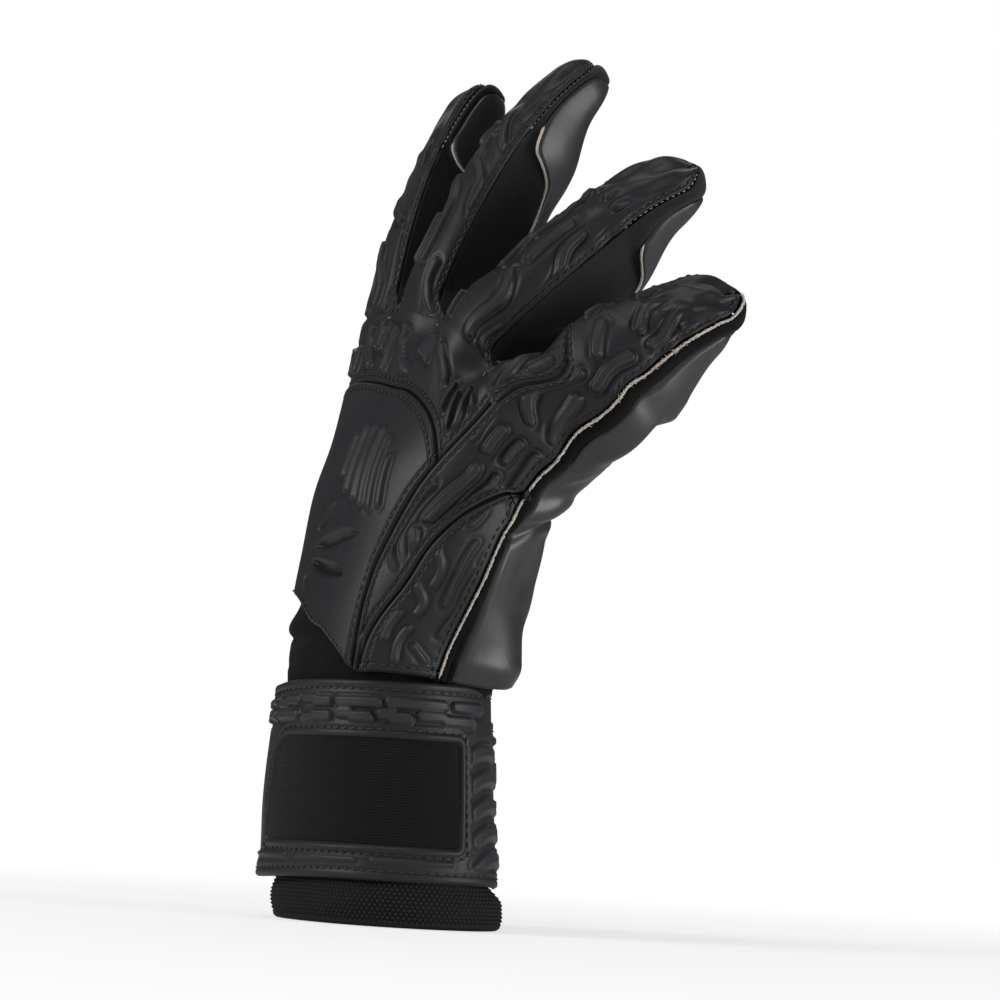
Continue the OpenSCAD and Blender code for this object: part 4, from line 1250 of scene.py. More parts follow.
class GLOVE_OT_back(bpy.types.Operator):
    """Make the panels of the back, their relief, seams and stitch rows"""

    bl_idname = "glove.back"
    bl_label = "Back panels"

    def execute(self, context):
        s = sizes()
        sewing = bmesh.new()
        inset = mm(s.stitch_inset)

        def finish(name, patch, nodes, rows):
            stitch_rows(sewing, patch, rows)
            obj = add_piece(name, patch, material("back"), s.panel)
            dress(obj, nodes, "hand")

        upper = hand_patch(band_seam, lambda t: BACK_HIGH, arch_seam, top_edge, cols=200, rows=90)
        soften(upper, 21, joined=("high",), sink=0.5)
        press_bars(upper, 31, ("left", "low"), **BIG_BARS, longest=4, joined=("high",))
        upper.turn_down(("left", "low", "right")).groove(("left", "low"), inset)
        finish("back_upper", upper, ("backhand_upper",), (("left", inset), ("low", inset)))

        knuckle = hand_patch(band_seam, lambda t: BACK_HIGH, low_edge, arch_seam, cols=160, rows=160)
        self.shape_knuckle(knuckle)
        knuckle.turn_down(("left", "high", "right", "low")).groove(("left", "high"), inset)
        rows = (("left", inset), ("high", inset), ("low", 1.8))
        finish("back_knuckle", knuckle, ("knuckle_dome", "backhand_lower"), rows)

        def band_low(t):
            return np.maximum(lower_seam(t), side_seam(t))

        band = hand_patch(band_low, band_seam, low_edge, top_edge, cols=80, rows=230)
        soften(band, 22, 0.4, joined=("high",), sink=0.3)
        fade = ease((band.level - 18) / 10)
        press_bars(band, 35, ("left", "right"), **BIG_BARS, longest=5, fade=fade, joined=("high",))
        band.turn_down(("left", "right", "low")).groove(("left", "right"), inset)
        finish("back_band", band, ("backhand_band",), (("left", inset), ("right", inset)))

        side = hand_patch(side_seam, lower_seam, low_edge, lambda u: SIDE_TOP + 0 * u, cols=100, rows=150)
        soften(side, 23, 0.5)
        press_bars(side, 37, ("left", "right", "low"), **FINE_BARS, longest=5)
        side.turn_down(("left", "right", "low")).groove(("right", "low"), inset)
        finish("back_side", side, ("backhand_side",), (("right", inset), ("low", 2.2), ("left", 2.4)))

        add_sewing("back_stitches", sewing, "thread", "hand")
        # short bars of thread that hold the crotches of the fingers
        tacks = bmesh.new()
        for angle in CROTCHES:
            for shift in TACK_SHIFTS:
                u = np.full(4, angle + shift)
                t = top_edge(u) + np.linspace(-3.0, -0.3 - abs(shift) * 0.5, 4)
                add_stitches(tacks, *seam_line(u, t, 1), scale=0.6)
        add_sewing("crotch_tacks", tacks, "tack", "hand")
        return {"FINISHED"}

    def shape_knuckle(self, patch):
        """Pads the knuckles, and presses flex bars and a fan of flex darts into the panel."""
        u, t = patch.angle, patch.level
        soften(patch, 24, 0.35, 46)
        patch.raise_by(0.5 * hump(t, 60, 36) * ease((u - 50) / 26) * ease((170 - u) / 26))
        # a round field of flex bars over the knuckles
        x, y = spot(patch, *FLEX_SPOT)
        places = []
        for aside in FLEX_ASIDE:
            half = FLEX_HIGH * math.sqrt(1 - (aside / FLEX_WIDE) ** 2) - 1.5
            lean = FLEX_SLANT * half
            places.append([(x + aside - lean, y - half), (x + aside + lean, y + half)])
        shape = bars(distance_to(patch.x, patch.y, places), half=1.5, height=0.9, rim=1.6)
        # painted highlight on the flex bars and painted shade in their moats
        patch.paint = patch.paint + 0.7 * np.clip(shape, -0.6, 1)
        patch.raise_by(shape)
        # a fan of darts above the wrist, each deepest in its middle
        for near, far in DARTS:
            x0, y0 = spot(patch, *near)
            x1, y1 = spot(patch, *far)
            dx, dy = x1 - x0, y1 - y0
            reach = math.hypot(dx, dy)
            f = ((patch.x - x0) * dx + (patch.y - y0) * dy) / reach**2
            off = np.abs((patch.x - x0) * dy - (patch.y - y0) * dx) / reach
            wide = 0.05 + DART_HALF * np.sin(np.pi * np.clip(f, 0, 1)) ** 0.8
            dart = np.clip(1 - off / wide, 0, 1) * ease(f * 8) * ease((1 - f) * 8)
            # painted shade in the darts
            patch.paint = patch.paint - 0.8 * dart
            patch.raise_by(-DART_DEPTH * dart)


# How the palm's heel is tucked in: depth, and reach from its lower edge
HEEL_TUCK, HEEL_REACH = 2.8, 9
# Depth and reach by which palm latex turns down into a seam
PALM_TURN = (1.2, 1.3)


class GLOVE_OT_palm(bpy.types.Operator):
    """Make the palm, the edge bands and the raw side seam"""

    bl_idname = "glove.palm"
    bl_label = "Palm"

    def execute(self, context):
        s = sizes()

        def back_end(t):
            return BACK_HIGH + 0 * t

        def palm_start(t):
            return PALM_LOW + 0 * t

        def palm_end(t):
            return 360 + palm_seam(t)

        def seam(t):
            return 360 + side_seam(t)

        palm = hand_patch(palm_start, palm_end, low_edge, top_edge, cols=150, rows=120)
        soften(palm, 41, 0.5, 30, ("high",))
        palm.raise_by(-HEEL_TUCK * ease((HEEL_REACH - palm.low) / HEEL_REACH) ** 1.5)
        palm.turn_down(("left", "right", "low"), *PALM_TURN)
        obj = add_piece("palm", palm, material("palm"), s.panel)
        dress(obj, ("palm_panel",), "hand")

        for name, node, low, high, rows, dip, swell, depth in (
            ("little_side_band", "little_edge_band", palm_end, seam, 160, 0.5, 0.9, 0.7),
            ("thumb_side_band", "thumb_edge_band", back_end, palm_start, 140, 0.3, 0.6, 0.8),
        ):
            band = hand_patch(low, high, low_edge, top_edge, cols=24, rows=rows)
            band.raise_by(swell * np.sin(np.pi * band.u) - dip).turn_down(("left", "right"), depth, 1.2)
            add_cloth(name, band, "band", "knit", (node,), ["palm"], "hand")

        t = np.linspace(-8.5, 70.4, 150)
        normals = seam_line(side_seam(t), t, 2)[1]
        line = hand_surface(side_seam(t) - 0.35, t)
        obj = tube("side_raw_edge", line, normals, mm(s.raw_edge), rough=0.5, seed=5)
        dress(obj, ("side_seam_cord",), "hand")
        return {"FINISHED"}


# Share of a finger's length that is tucked under the panels of the hand
TUCK = -0.018
FINGER_BARS = {"margin": 4.6, "pitch": 8.0, "half": 1.5, "height": 1.3}
# Distance of the fingers' stitch rows from their seams, and depth of the trough that they lie in
FINGER_INSET, FINGER_TROUGH = 2.4, 0.35
# Half width of the raw edges beside the pads
PAD_EDGE = 0.55
# Folds over each fingertip, and how far they lean along it
TIP_FOLDS, TIP_LEANS = (1.6, 1.8, 2.1, 2.4), (1.5, 2.0, 3.0, 4.5)
# Loose fibres of the little finger's raw edge: count, and middle and spread of their places along it
FIBRES, FIBRE_MIDDLE, FIBRE_SPREAD = 110, 0.42, 0.17


def rolled(patch, dip, swell, tip):
    """Rolls an edge band outwards between its two seams; it lies level round the tip."""
    return mix(swell * np.sin(np.pi * patch.u) ** 0.6 - dip, tip, patch.beyond)


class GLOVE_OT_fingers(bpy.types.Operator):
    """Make the four fingers: backs, pads, knitted gussets, raw edges and stitches"""

    bl_idname = "glove.fingers"
    bl_label = "Fingers"

    def execute(self, context):
        for number, (name, finger) in enumerate(FINGERS.items()):
            self.make(number, name, finger)
        return {"FINISHED"}

    def patch(self, finger, low, high, cols, rows, reach=1.0):
        """A patch of the finger between two of its seams, each as number and angle to add."""
        v = mix(TUCK if reach < 1 else 0.0, reach, steps(rows))
        middle = np.full(rows, PAD_MIDDLE if low[0] == 2 else BACK_MIDDLE)
        share = finger.place(middle, v)[1] / finger.limb.span
        lo = finger.edge(low[0], v) + low[1]
        hi = finger.edge(high[0], v) + high[1]
        u = mix(lo[:, None], hi[:, None], steps(cols)[None, :])
        points, core = finger.surface(u, v[:, None])
        patch = Patch(points, core)
        patch.angle, patch.share = u, share[:, None] + 0 * u
        v = v[:, None] + 0 * u
        patch.open = ease((1.0 - v) / 0.05)
        patch.beyond = ease((v - TIP_CLOSE[1] + 0.016) / 0.03)
        return patch.raise_by(-0.4 * ease(v / TUCK))

    def make(self, number, name, finger):
        """One finger with all its pieces."""
        s = sizes()
        sewing = bmesh.new()
        back = self.patch(finger, (0, 0), (1, 0), cols=96, rows=216, reach=TIP_CLOSE[1])
        soften(back, 50 + number, 0.35, joined=("low",), sink=0.7)
        depth, at, reach = FINGER_FLAT[name]
        sides = ("left", "right")
        back.raise_by(-depth * hump(back.share, at, reach) * ease(back.edge(sides) / 9.0))
        clear = ease((0.74 - back.share) / 0.08)
        if name == "little":
            seam = self.seam_places(back)
            away = distance_to(back.x, back.y, [seam])
            clear = clear * ease((away - 3.6) / 1.2)
        press_bars(back, 60 + number * 3, sides, **FINGER_BARS, longest=4, fade=clear, joined=("low",))
        if name == "little":
            back.raise_by(-1.5 * np.exp(-((away / 0.8) ** 2)))
            for aside in (-2.5, 2.5):
                add_stitches(sewing, *back.line_over(seam + [aside, 0.0]))
        self.gather_tip(back, number)
        back.turn_down(sides).groove(sides, FINGER_INSET, FINGER_TROUGH)
        stitch_rows(sewing, back, [(side, FINGER_INSET) for side in sides])
        obj = add_piece(name + "_back_panel", back, material("back"), s.panel, weld=True)
        dress(obj, (name + "_back",), finger=finger)

        palm = self.patch(finger, (2, 0), (3, 0), cols=80, rows=130, reach=TIP_CLOSE[1])
        soften(palm, 70 + number, 0.5, 26, ("low",))
        palm.raise_by(0.9 * hump(palm.share, 0.34, 0.2) + 0.7 * hump(palm.share, 0.66, 0.18))
        palm.turn_down(sides, *PALM_TURN)
        obj = add_piece(name + "_pad", palm, material("palm"), s.panel, weld=True)
        dress(obj, (name + "_palm",), finger=finger)

        self.side(name, finger, "outer", (3, -360), (0, 0), finger.crotch_low, palm)
        self.side(name, finger, "inner", (1, 0), (2, 0), finger.crotch_high, palm)
        add_sewing(name + "_stitches", sewing, "thread", finger=finger)
        if name == "little":
            normals = back.normals[:, 0]
            line = back.base[:, 0] + normals * 0.15
            obj = tube(name + "_raw_edge", line, normals, mm(s.raw_edge) * 0.9, rough=0.5, seed=9)
            dress(obj, finger=finger)
            self.fray(line, normals, finger)
        else:
            line, normals = back.row("left", 0.25)
            first = int(len(line) * 0.66)
            cream = bmesh.new()
            add_stitches(cream, line[first:], normals[first:], sink=-0.05, scale=0.7)
            add_sewing(name + "_tip_thread", cream, "cream", finger=finger)

    def fray(self, line, normals, finger):
        """Loose fibres that stand out of the raw edge, most of them half way along the finger."""
        rng = np.random.default_rng(19)
        points, ahead, ups = spaced(line, normals, 0.5)
        tufts = bmesh.new()
        for share in np.clip(rng.normal(FIBRE_MIDDLE, FIBRE_SPREAD, FIBRES), 0.05, 0.9):
            k = int(share * (len(points) - 1))
            lean = Vector(ahead[k]).normalized() + Vector(rng.normal(0, 0.55, 3)) + Vector(ups[k]) * 0.25
            size = Matrix.Diagonal((0.13, 0.13, rng.uniform(0.5, 1.25), 1.0))
            turn = lean.to_track_quat("Z", "Y").to_matrix().to_4x4()
            turn.translation = Vector(points[k] + ups[k] * 0.3 + rng.normal(0, 0.28, 3))
            place = Matrix.Scale(MM, 4) @ turn @ size
            bmesh.ops.create_uvsphere(tufts, u_segments=5, v_segments=3, radius=1.0, matrix=place)
        add_sewing("little_frayed_fibres", tufts, "cream", finger=finger)

    def seam_places(self, back):
        """The seam that crosses the little finger's back, in the panel's own millimetres."""
        share = np.linspace(LITTLE_SEAM[0][0], LITTLE_SEAM[-1][0], 60)
        angle = along_table(share, LITTLE_SEAM)
        row = np.rint(np.interp(share, back.share[:, 0], np.arange(len(back.share)))).astype(int)
        x = [np.interp(a, back.angle[k], back.x[k]) for a, k in zip(angle, row)]
        return evenly(np.stack([x, back.y[row, 0]], axis=-1))

    def gather_tip(self, patch, number):
        """Folds that run over the fingertip, where the cut is drawn in."""
        folds = TIP_FOLDS[number]
        ramp = ease((patch.share - 0.66) / 0.2) * patch.open
        lean = (patch.share - 0.8) * TIP_LEANS[number]
        wave = np.sin(2 * np.pi * (folds * patch.u + lean) + number * 1.7)
        wave = wave + 0.25 * np.sin(2 * np.pi * (folds * 1.7 * patch.u - lean) + number)
        inner = ease(patch.edge(("left", "right")) / 5.0)
        patch.raise_by(mm(sizes().tip_fold) * 0.8 * ramp * inner * wave)
        creases = np.sin(2 * np.pi * patch.y / 11.0 + 1.2 * np.sin(patch.u * 5 + number))
        patch.raise_by(0.35 * hump(patch.share, 0.62, 0.2) * creases)

    def side(self, name, finger, which, low, high, crotch, palm):
        """The knitted gusset, or the edge band, between a finger's back and its pad."""
        patch = self.patch(finger, low, high, cols=30, rows=150)
        shape = rolled(patch, dip=0.7, swell=1.3, tip=0.5)
        if crotch:
            hollow = mix(-1.0 - 1.6 * np.sin(np.pi * patch.u), 0.5, patch.beyond)
            shape = mix(hollow, shape, ease((patch.share - 0.6) / 0.12))
        patch.raise_by(shape)
        rests_on = [name + "_pad"]
        if not crotch:
            add_cloth(name + "_side_band", patch, "band", "knit", (), rests_on, finger=finger, weld=True)
            return
        # the fingers at the ends of the row have one gusset each
        node = name + ("_gusset" if name in ("index", "little") else "_gusset_" + which)
        piece = name + "_gusset_" + which
        add_cloth(piece, patch, "knit", "knit", (node,), rests_on, finger=finger, weld=True)
        line, normals = palm.row("right" if which == "outer" else "left", 0.15)
        seen = slice(int(len(line) * 0.24), int(len(line) * 0.7))
        edge = name + "_palm_edge_" + which
        obj = tube(edge, line[seen], normals[seen], PAD_EDGE, rough=0.18, seed=13, flat=0.9)
        dress(obj, finger=finger)


# Shares of the thumb's length: where it starts to round off, and where its panels turn in round the tip
THUMB_TURN, THUMB_CLOSE = 0.78, (0.8, 0.935)
THUMB_BARS = {"margin": 4.2, "pitch": 7.8, "half": 1.45, "height": 1.2}
# Ring on the palm that the thumb's root starts from: angle, level, and reach to either side of each
FOOT_ANGLE, FOOT_LEVEL = 219.0, 54.0
FOOT_ROUND, FOOT_ALONG = (40.0, 27.0), (17.0, 33.0)
# The root starts this far round its ring, and its ends run this far straight along the thumb
FOOT_TURN, ROOT_LEAD = 118, 11.0
# Distances before the thumb's start between which its root would turn from the hand to the thumb
THUMB_BEND = (9.0, 0.5)


class GLOVE_OT_thumb(bpy.types.Operator):
    """Make the thumb: back, pad, edge bands and soft root"""

    bl_idname = "glove.thumb"
    bl_label = "Thumb"

    def execute(self, context):
        self.panel("thumb_back_panel", (22, 90), (158, 90), "back", "backhand", "thumb_back", 81)
        self.panel("thumb_pad", (180, 270), (360, 270), "palm", "palm_latex", "thumb_palm", 82)
        for name, low, high in (
            ("thumb_band_inner", (158, 90), (180, 270)), ("thumb_band_outer", (0, -90), (22, 90))
        ):
            patch = self.patch(low, high, cols=24, rows=120)
            patch.raise_by(rolled(patch, dip=0.6, swell=1.1, tip=0.4))
            add_cloth(name, patch, "band", "knit", (), ["thumb_pad"], "thumb", weld=True)
        self.root()
        return {"FINISHED"}

    def root(self):
        """The soft root, lofted from a ring on the palm to the thumb's first ring."""
        u, v = np.meshgrid(np.linspace(0, 360, 121), steps(50))
        turn = np.radians(u + FOOT_TURN)
        ring = THUMB.point(u, 0.8 + 0 * v)
        lines = [self.foot(turn, 1.0), self.foot(turn, 0.55), ring - ROOT_LEAD * THUMB_ALONG, ring]
        shares = ((1 - v) ** 3, 3 * v * (1 - v) ** 2, 3 * v**2 * (1 - v), v**3)
        points = sum(share[..., None] * line for share, line in zip(shares, lines))
        core = np.broadcast_to(points.mean(axis=1, keepdims=True), points.shape)
        patch = Patch(points, core, ring=True)
        wrinkles = 0.4 * np.sin(np.pi * v) * np.sin(np.radians(3 * u) + 5 * v)
        patch.raise_by(-1.1 + 0.8 * ease(v / 0.3) + wrinkles)
        obj = add_piece("thumb_root", patch, material("palm"), sizes().knit, weld=True)
        dress(obj, ("thumb_web",))
        start, end = (THUMB_START - THUMB_ALONG * before for before in THUMB_BEND)
        tuple(start * MM)
        tuple(end * MM)
        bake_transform(obj)
        declare_cloth(patch)

    def foot(self, turn, size):
        """A ring on the palm round the place where the thumb leaves it."""
        across, along = np.cos(turn) * size, np.sin(turn) * size
        level = FOOT_LEVEL + np.where(along > 0, *FOOT_ALONG) * along
        return hand_surface(FOOT_ANGLE + np.where(across > 0, *FOOT_ROUND) * across, level)

    def patch(self, low, high, cols, rows, reach=1.0):
        """A patch of the thumb between two seams, each as angle and the angle that it ends at on the tip."""
        v = steps(rows) * reach
        shaft = THUMB.span - THUMB.cap
        over = np.clip((v - THUMB_TURN) / (1 - THUMB_TURN), 0, 1)
        at = mix(0.0, shaft, np.minimum(v, THUMB_TURN) / THUMB_TURN) + THUMB.cap * np.sin(over * np.pi / 2)
        f = closing(v, *THUMB_CLOSE)[:, None]
        u = mix(mix(*low, f), mix(*high, f), steps(cols)[None, :])
        at = np.broadcast_to(at[:, None], u.shape)
        patch = Patch(THUMB.point(u, at), THUMB.centre(at))
        patch.share = at / THUMB.span
        patch.beyond = ease((v[:, None] - THUMB_CLOSE[1] + 0.02) / 0.04) + 0 * patch.x
        return patch

    def panel(self, name, low, high, finish, slot, node, seed):
        """The thumb's back or its pad; the back has relief, folds at its tip and stitch rows."""
        s = sizes()
        sides = ("left", "right")
        patch = self.patch(low, high, cols=80, rows=104, reach=THUMB_CLOSE[1])
        soften(patch, seed, 0.45, 26)
        if finish == "back":
            fade = ease((0.72 - patch.share) / 0.1)
            press_bars(patch, seed + 5, ("left", "right", "low"), **THUMB_BARS, longest=4, fade=fade)
            ramp = ease((patch.share - 0.6) / 0.25) * ease(patch.edge(sides) / 5.0)
            patch.raise_by(mm(s.tip_fold) * 0.7 * ramp * np.sin(2 * np.pi * 2 * patch.u + 0.6))
        patch.turn_down(sides)
        if finish == "back":
            sewing = bmesh.new()
            patch.groove(sides, FINGER_INSET, FINGER_TROUGH)
            stitch_rows(sewing, patch, [(side, FINGER_INSET) for side in sides])
            add_sewing("thumb_stitches", sewing, "thread", "thumb")
        obj = add_piece(name, patch, material(finish), s.panel, weld=True)
        dress(obj, (node,), "thumb")


def cuff_patch(surface, u, z, lift=0.0, ring=False):
    """A patch of the hem or of the strap at angles and heights, lifted off it."""
    points = surface(u, z, lift)
    f = np.clip((z - STRAP_BOTTOM) / STRAP_HEIGHT, 0, 1)
    patch = Patch(points, np.stack([CUFF_DRIFT[0] * f, CUFF_DRIFT[1] * f, z], axis=-1), ring)
    patch.angle, patch.level = u, z
    return patch


# Free end of the strap: angle of its root, sweep, height, lift off the strap, length that bends
HINGE_ANGLE, TAIL_SWEEP, TAIL_HEIGHT, TAIL_LIFT, TAIL_BEND = -46.0, 106.0, 46.0, 1.9, 16
STRAP_END = 360 + HINGE_ANGLE - TAIL_SWEEP - 4
STRAP_MIDDLE, STRAP_RISE = 43.3, 3.4
# Window in the strap: angles, levels, radius of its round corner, lean of its sides
WINDOW = (1.0, 112.0, 24.8, 57.8)
WINDOW_CORNER, WINDOW_LEAN = 8.5, 4.4
# Distances of stitch rows from the strap's edges, from the window and from the tail's edges
STRAP_INSET, WINDOW_INSET, TAIL_INSET = 2.9, 2.7, 3.2
# Depth and reach by which the strap's edges turn down
STRAP_TURN = (1.2, 1.1)
TAIL_BARS = {"margin": 5.4, "pitch": 7.4, "half": 1.4, "height": 1.1}
# Sleeve: heights of its rings inside the strap, then level and share of the hand's section above
SLEEVE_HEIGHTS = (6.0, 20.0, 40.0, 60.0)
SLEEVE_RINGS = (
    (-13, 0.885), (-9.5, 0.895), (-6, 0.925), (-2.5, 0.915), (0, 0.875), (2.5, 0.915), (7, 0.93), (12, 0.92),
    (18, 0.89), (25, 0.86),
)


def strap_level(u, v):
    """Height of a place on the strap: it dips at its lower edge on the thumb side."""
    top = STRAP_TOP + STRAP_RISE - 2.4 * hump(u, 145, 70)
    return mix(STRAP_BOTTOM - 1.8 * hump(u, 140, 80), top, v)


def strap_lean(u, z):
    """On the little-finger side the strap is drawn in at its lower edge and gapes at its upper one."""
    side = np.mod(np.asarray(u, float) + 180, 360) - 180
    return mix(-7.0, 0.6, np.clip((z - STRAP_BOTTOM) / STRAP_HEIGHT, 0, 1.1)) * hump(side, -58, 62)


def strap_bulge(u, z):
    """The strap stands off on the thumb side of the back, most at its lower edge."""
    return mix(0.8, 3.4, ease((STRAP_TOP - z) / 40)) * hump(u, 130, 64) + strap_lean(u, z)


def tail_bend():
    """The two places between which the strap's free end would turn from the cuff to its own body."""
    angles = np.array([HINGE_ANGLE, HINGE_ANGLE - 8])
    root, ahead = strap_surface(angles, np.full(2, STRAP_MIDDLE), TAIL_LIFT)
    return root, root + unit(ahead - root) * TAIL_BEND


class GLOVE_OT_cuff(bpy.types.Operator):
    """Make the mesh hem and the knitted sleeve"""

    bl_idname = "glove.cuff"
    bl_label = "Cuff"

    def execute(self, context):
        s = sizes()
        u, z = np.meshgrid(np.linspace(0, 360, 861), np.linspace(0.2, HEM_HEIGHT + 3.0, 78))
        patch = cuff_patch(hem_surface, u, z, -1.6, ring=True)
        around = patch.left / patch.left[:, -1:]
        cells = round(patch.left[0, -1] / mm(s.mesh_cell))
        row = z / (mm(s.mesh_cell) * 0.8)
        k = np.floor(row)
        f = (around * cells + 0.5 * np.mod(k, 2)) % 1.0 - 0.5
        knot = ease(1 - np.hypot(f * 1.5, (row - k - 0.5) * 1.1) / 0.62)
        plain = ease((z - 1.4) / 0.8)
        # painted highlight on the knots and painted shade in the holes between them; a plain band along the
        # bottom edge
        patch.paint = mix(0.3, knot, plain)
        full = np.clip(z / (HEM_HEIGHT + 2), 0, 1)
        bulge = 2.2 * np.sin(np.pi * full**0.7) ** 0.8 + 0.5 * hump(z, 1.0, 1.2)
        slump = 0.45 * np.sin(np.radians(u) * 5 + z * 0.35) * np.sin(np.pi * full)
        tuck = np.minimum(strap_lean(u, STRAP_BOTTOM), 0) * mix(0.35, 1.15, ease((z - 8) / 7))
        patch.raise_by(bulge + slump + 0.5 * knot * plain + tuck)
        nodes, rests_on = ("cuff_hem",), ["cuff_sleeve"]
        add_cloth("hem_mesh", patch, "mesh", "knit", nodes, rests_on, "cuff", wall=0.0, weld=True)
        self.sleeve()
        return {"FINISHED"}

    def sleeve(self):
        """The knitted sleeve, drawn smoothly through rings inside the strap and the hand."""
        u = np.linspace(0, 360, 181)
        rings = [strap_surface(u, np.full(len(u), z), strap_lean(u, z) - 3.6) for z in SLEEVE_HEIGHTS]
        for level, share in SLEEVE_RINGS:
            at = level + 2.2 * ripple(u, 0 * u, 8, 90) - 1.5 * hump(u, 150, 60)
            wide = 0.05 * hump(u, 130, 55) * hump(level, 2, 9)
            narrow = 0.11 * hump(u, 318, 52) * ease((4 - level) / 10)
            rings.append(mix(hand_core(at), hand_surface(u, at), (share + wide - narrow)[:, None]))
        at = np.linspace(0, len(rings) - 1, 110)
        places = np.arange(len(rings))
        lines = np.array(rings).reshape(len(rings), -1).T
        points = np.stack([curve(at, places, line) for line in lines], axis=-1).reshape(len(at), len(u), 3)
        core = np.broadcast_to(points.mean(axis=1, keepdims=True), points.shape)
        patch = Patch(points, core, ring=True)
        patch.raise_by(0.5 * ripple(patch.x, patch.y * 2.2, 12, 30))
        add_cloth("cuff_sleeve", patch, "sleeve", "knit", ("wrist_sleeve",), ["hem_mesh"], "hand", weld=True)


# Gap between the plates over the window, distance between the ribs beside it, level of the bars under it
PLATE_GAP, RIB_PITCH, UNDER_LEVEL = 4.7, 8.2, 20.2
# Line of a rib: distance before the window, rise
RIB_LINE = ((6.5, -2.6), (9, -0.6), (15, 1.4), (24, 1.6))


class GLOVE_OT_strap(bpy.types.Operator):
    """Make the strap with its knitted window, its free tail and the touch fastener"""

    bl_idname = "glove.strap"
    bl_label = "Strap"

    def execute(self, context):
        s = sizes()
        sewing = bmesh.new()
        u, v = np.meshgrid(np.linspace(HINGE_ANGLE, STRAP_END, 384), steps(124))
        z = strap_level(u, v)
        patch = cuff_patch(strap_surface, u, z)
        soften(patch, 91, 0.45, 50)
        patch.raise_by(strap_bulge(u, z) + 1.5 * ease((24 - z) / 10) * hump(u, 140, 60))
        middle = np.argmin(np.abs(z[:, 0] - 40))
        x = np.broadcast_to(patch.left[middle], u.shape)
        x0, x1 = np.interp(WINDOW[:2], u[0], x[middle])
        lean = WINDOW_LEAN * (z - WINDOW[2]) / (WINDOW[3] - WINDOW[2])
        inside = self.box_distance(x + lean, z, (x0, x1), WINDOW[2:], WINDOW_CORNER)
        self.press(patch, x, z, inside, x0)
        frame_lip = 0.5 * np.exp(-(((inside - 1.2) / 0.9) ** 2))
        recess = -1.5 * ease((0.4 - inside) / 0.9)
        trough = -0.4 * ease(1 - np.abs(inside - WINDOW_INSET) / 0.8)
        patch.raise_by(frame_lip + recess + trough)
        patch.turn_down(("low", "high", "left", "right"), *STRAP_TURN)
        patch.groove(("low", "high"), STRAP_INSET, depth=0.45, half=0.8)
        stitch_rows(sewing, patch, (("low", STRAP_INSET), ("high", STRAP_INSET)))
        self.stitch_frame(sewing, patch, x, (x0, x1))
        obj = add_piece("strap_wrap", patch, material("strap"), s.panel)
        dress(obj, ("strap_band",), "cuff")
        add_sewing("strap_stitches", sewing, "thread", "cuff")
        self.window()

        low = STRAP_BOTTOM + (STRAP_HEIGHT - TAIL_HEIGHT) / 2
        high = low + TAIL_HEIGHT
        far = HINGE_ANGLE - TAIL_SWEEP
        self.tail(self.layer((far, HINGE_ANGLE - 0.7), (low, high), TAIL_LIFT, cols=220, rows=96))
        for name, node, body, sweep, lift, cols in (
            ("tail_hooks", "hook_patch", "strap_end", 50, -1.4, 60),
            ("tail_loops", "loop_patch", "cuff", 70, -2.5, 80),
        ):
            patch = self.layer((far + 4, far + sweep), (low + 4, high - 4), lift, cols, rows=50)
            patch.raise_by(0.12 * ripple(patch.x, patch.y, 7, 2.0))
            add_cloth(name, patch, "touch", "touch_fabric", (node,), ["strap_wrap"], body)
        return {"FINISHED"}

    def window(self):
        """The knit of the window, ribbed level, tucked under the strap."""
        s = sizes()
        patch = self.layer((WINDOW[0] - 9, WINDOW[1] + 0.8), (24.0, 58.6), 0.0, cols=120, rows=260)
        rib = 0.08 * np.sin(2 * np.pi * patch.level / mm(s.rib))
        # painted highlight on the ribs' crests and painted shade in their troughs
        patch.paint = 0.5 + rib / 0.16
        hold = ease((patch.angle - WINDOW[0] + 8) / 8)
        patch.raise_by(hold * (0.6 + 0.25 * np.sin(np.pi * patch.v) ** 0.5) - 1.35 + rib)
        names, rests_on = ("strap_window",), ["strap_wrap"]
        add_cloth("window_knit", patch, "window", "touch_fabric", names, rests_on, "cuff", wall=s.knit * 0.5)

    def layer(self, angles, levels, lift, cols, rows):
        """A patch at a distance over the strap."""
        u, z = np.meshgrid(np.linspace(*angles, cols), np.linspace(*levels, rows))
        return cuff_patch(strap_surface, u, z, lift).raise_by(strap_bulge(u, z))

    def tail(self, patch):
        """The free end of the strap: it comes down to the strap at its root."""
        patch.raise_by(-TAIL_LIFT * ease((patch.angle - HINGE_ANGLE + 34) / 30))
        soften(patch, 93, 0.4, 40)
        sides = ("low", "high", "left", "right")
        press_bars(patch, 93, sides, **TAIL_BARS, longest=5, upright=False)
        patch.turn_down(sides, *STRAP_TURN).groove(sides[:3], TAIL_INSET, depth=0.4, half=0.8)
        sewing = bmesh.new()
        stitch_rows(sewing, patch, [(side, TAIL_INSET) for side in sides[:3]])
        add_sewing("strap_tail_panel_stitches", sewing, "thread", "strap_end")
        obj = add_piece("strap_tail_panel", patch, material("strap"), sizes().panel)
        dress(obj, ("strap_tail",), "strap_end")

    def box_distance(self, x, z, xs, zs, corner):
        """Signed distance to the window's rounded outline, negative inside."""
        cx, cz = (xs[0] + xs[1]) / 2, (zs[0] + zs[1]) / 2
        r = np.where((x > cx) & (z > cz), corner, 1.2)
        qx = np.abs(x - cx) - (xs[1] - xs[0]) / 2 + r
        qz = np.abs(z - cz) - (zs[1] - zs[0]) / 2 + r
        away = np.hypot(np.maximum(qx, 0), np.maximum(qz, 0))
        return away + np.minimum(np.maximum(qx, qz), 0) - r

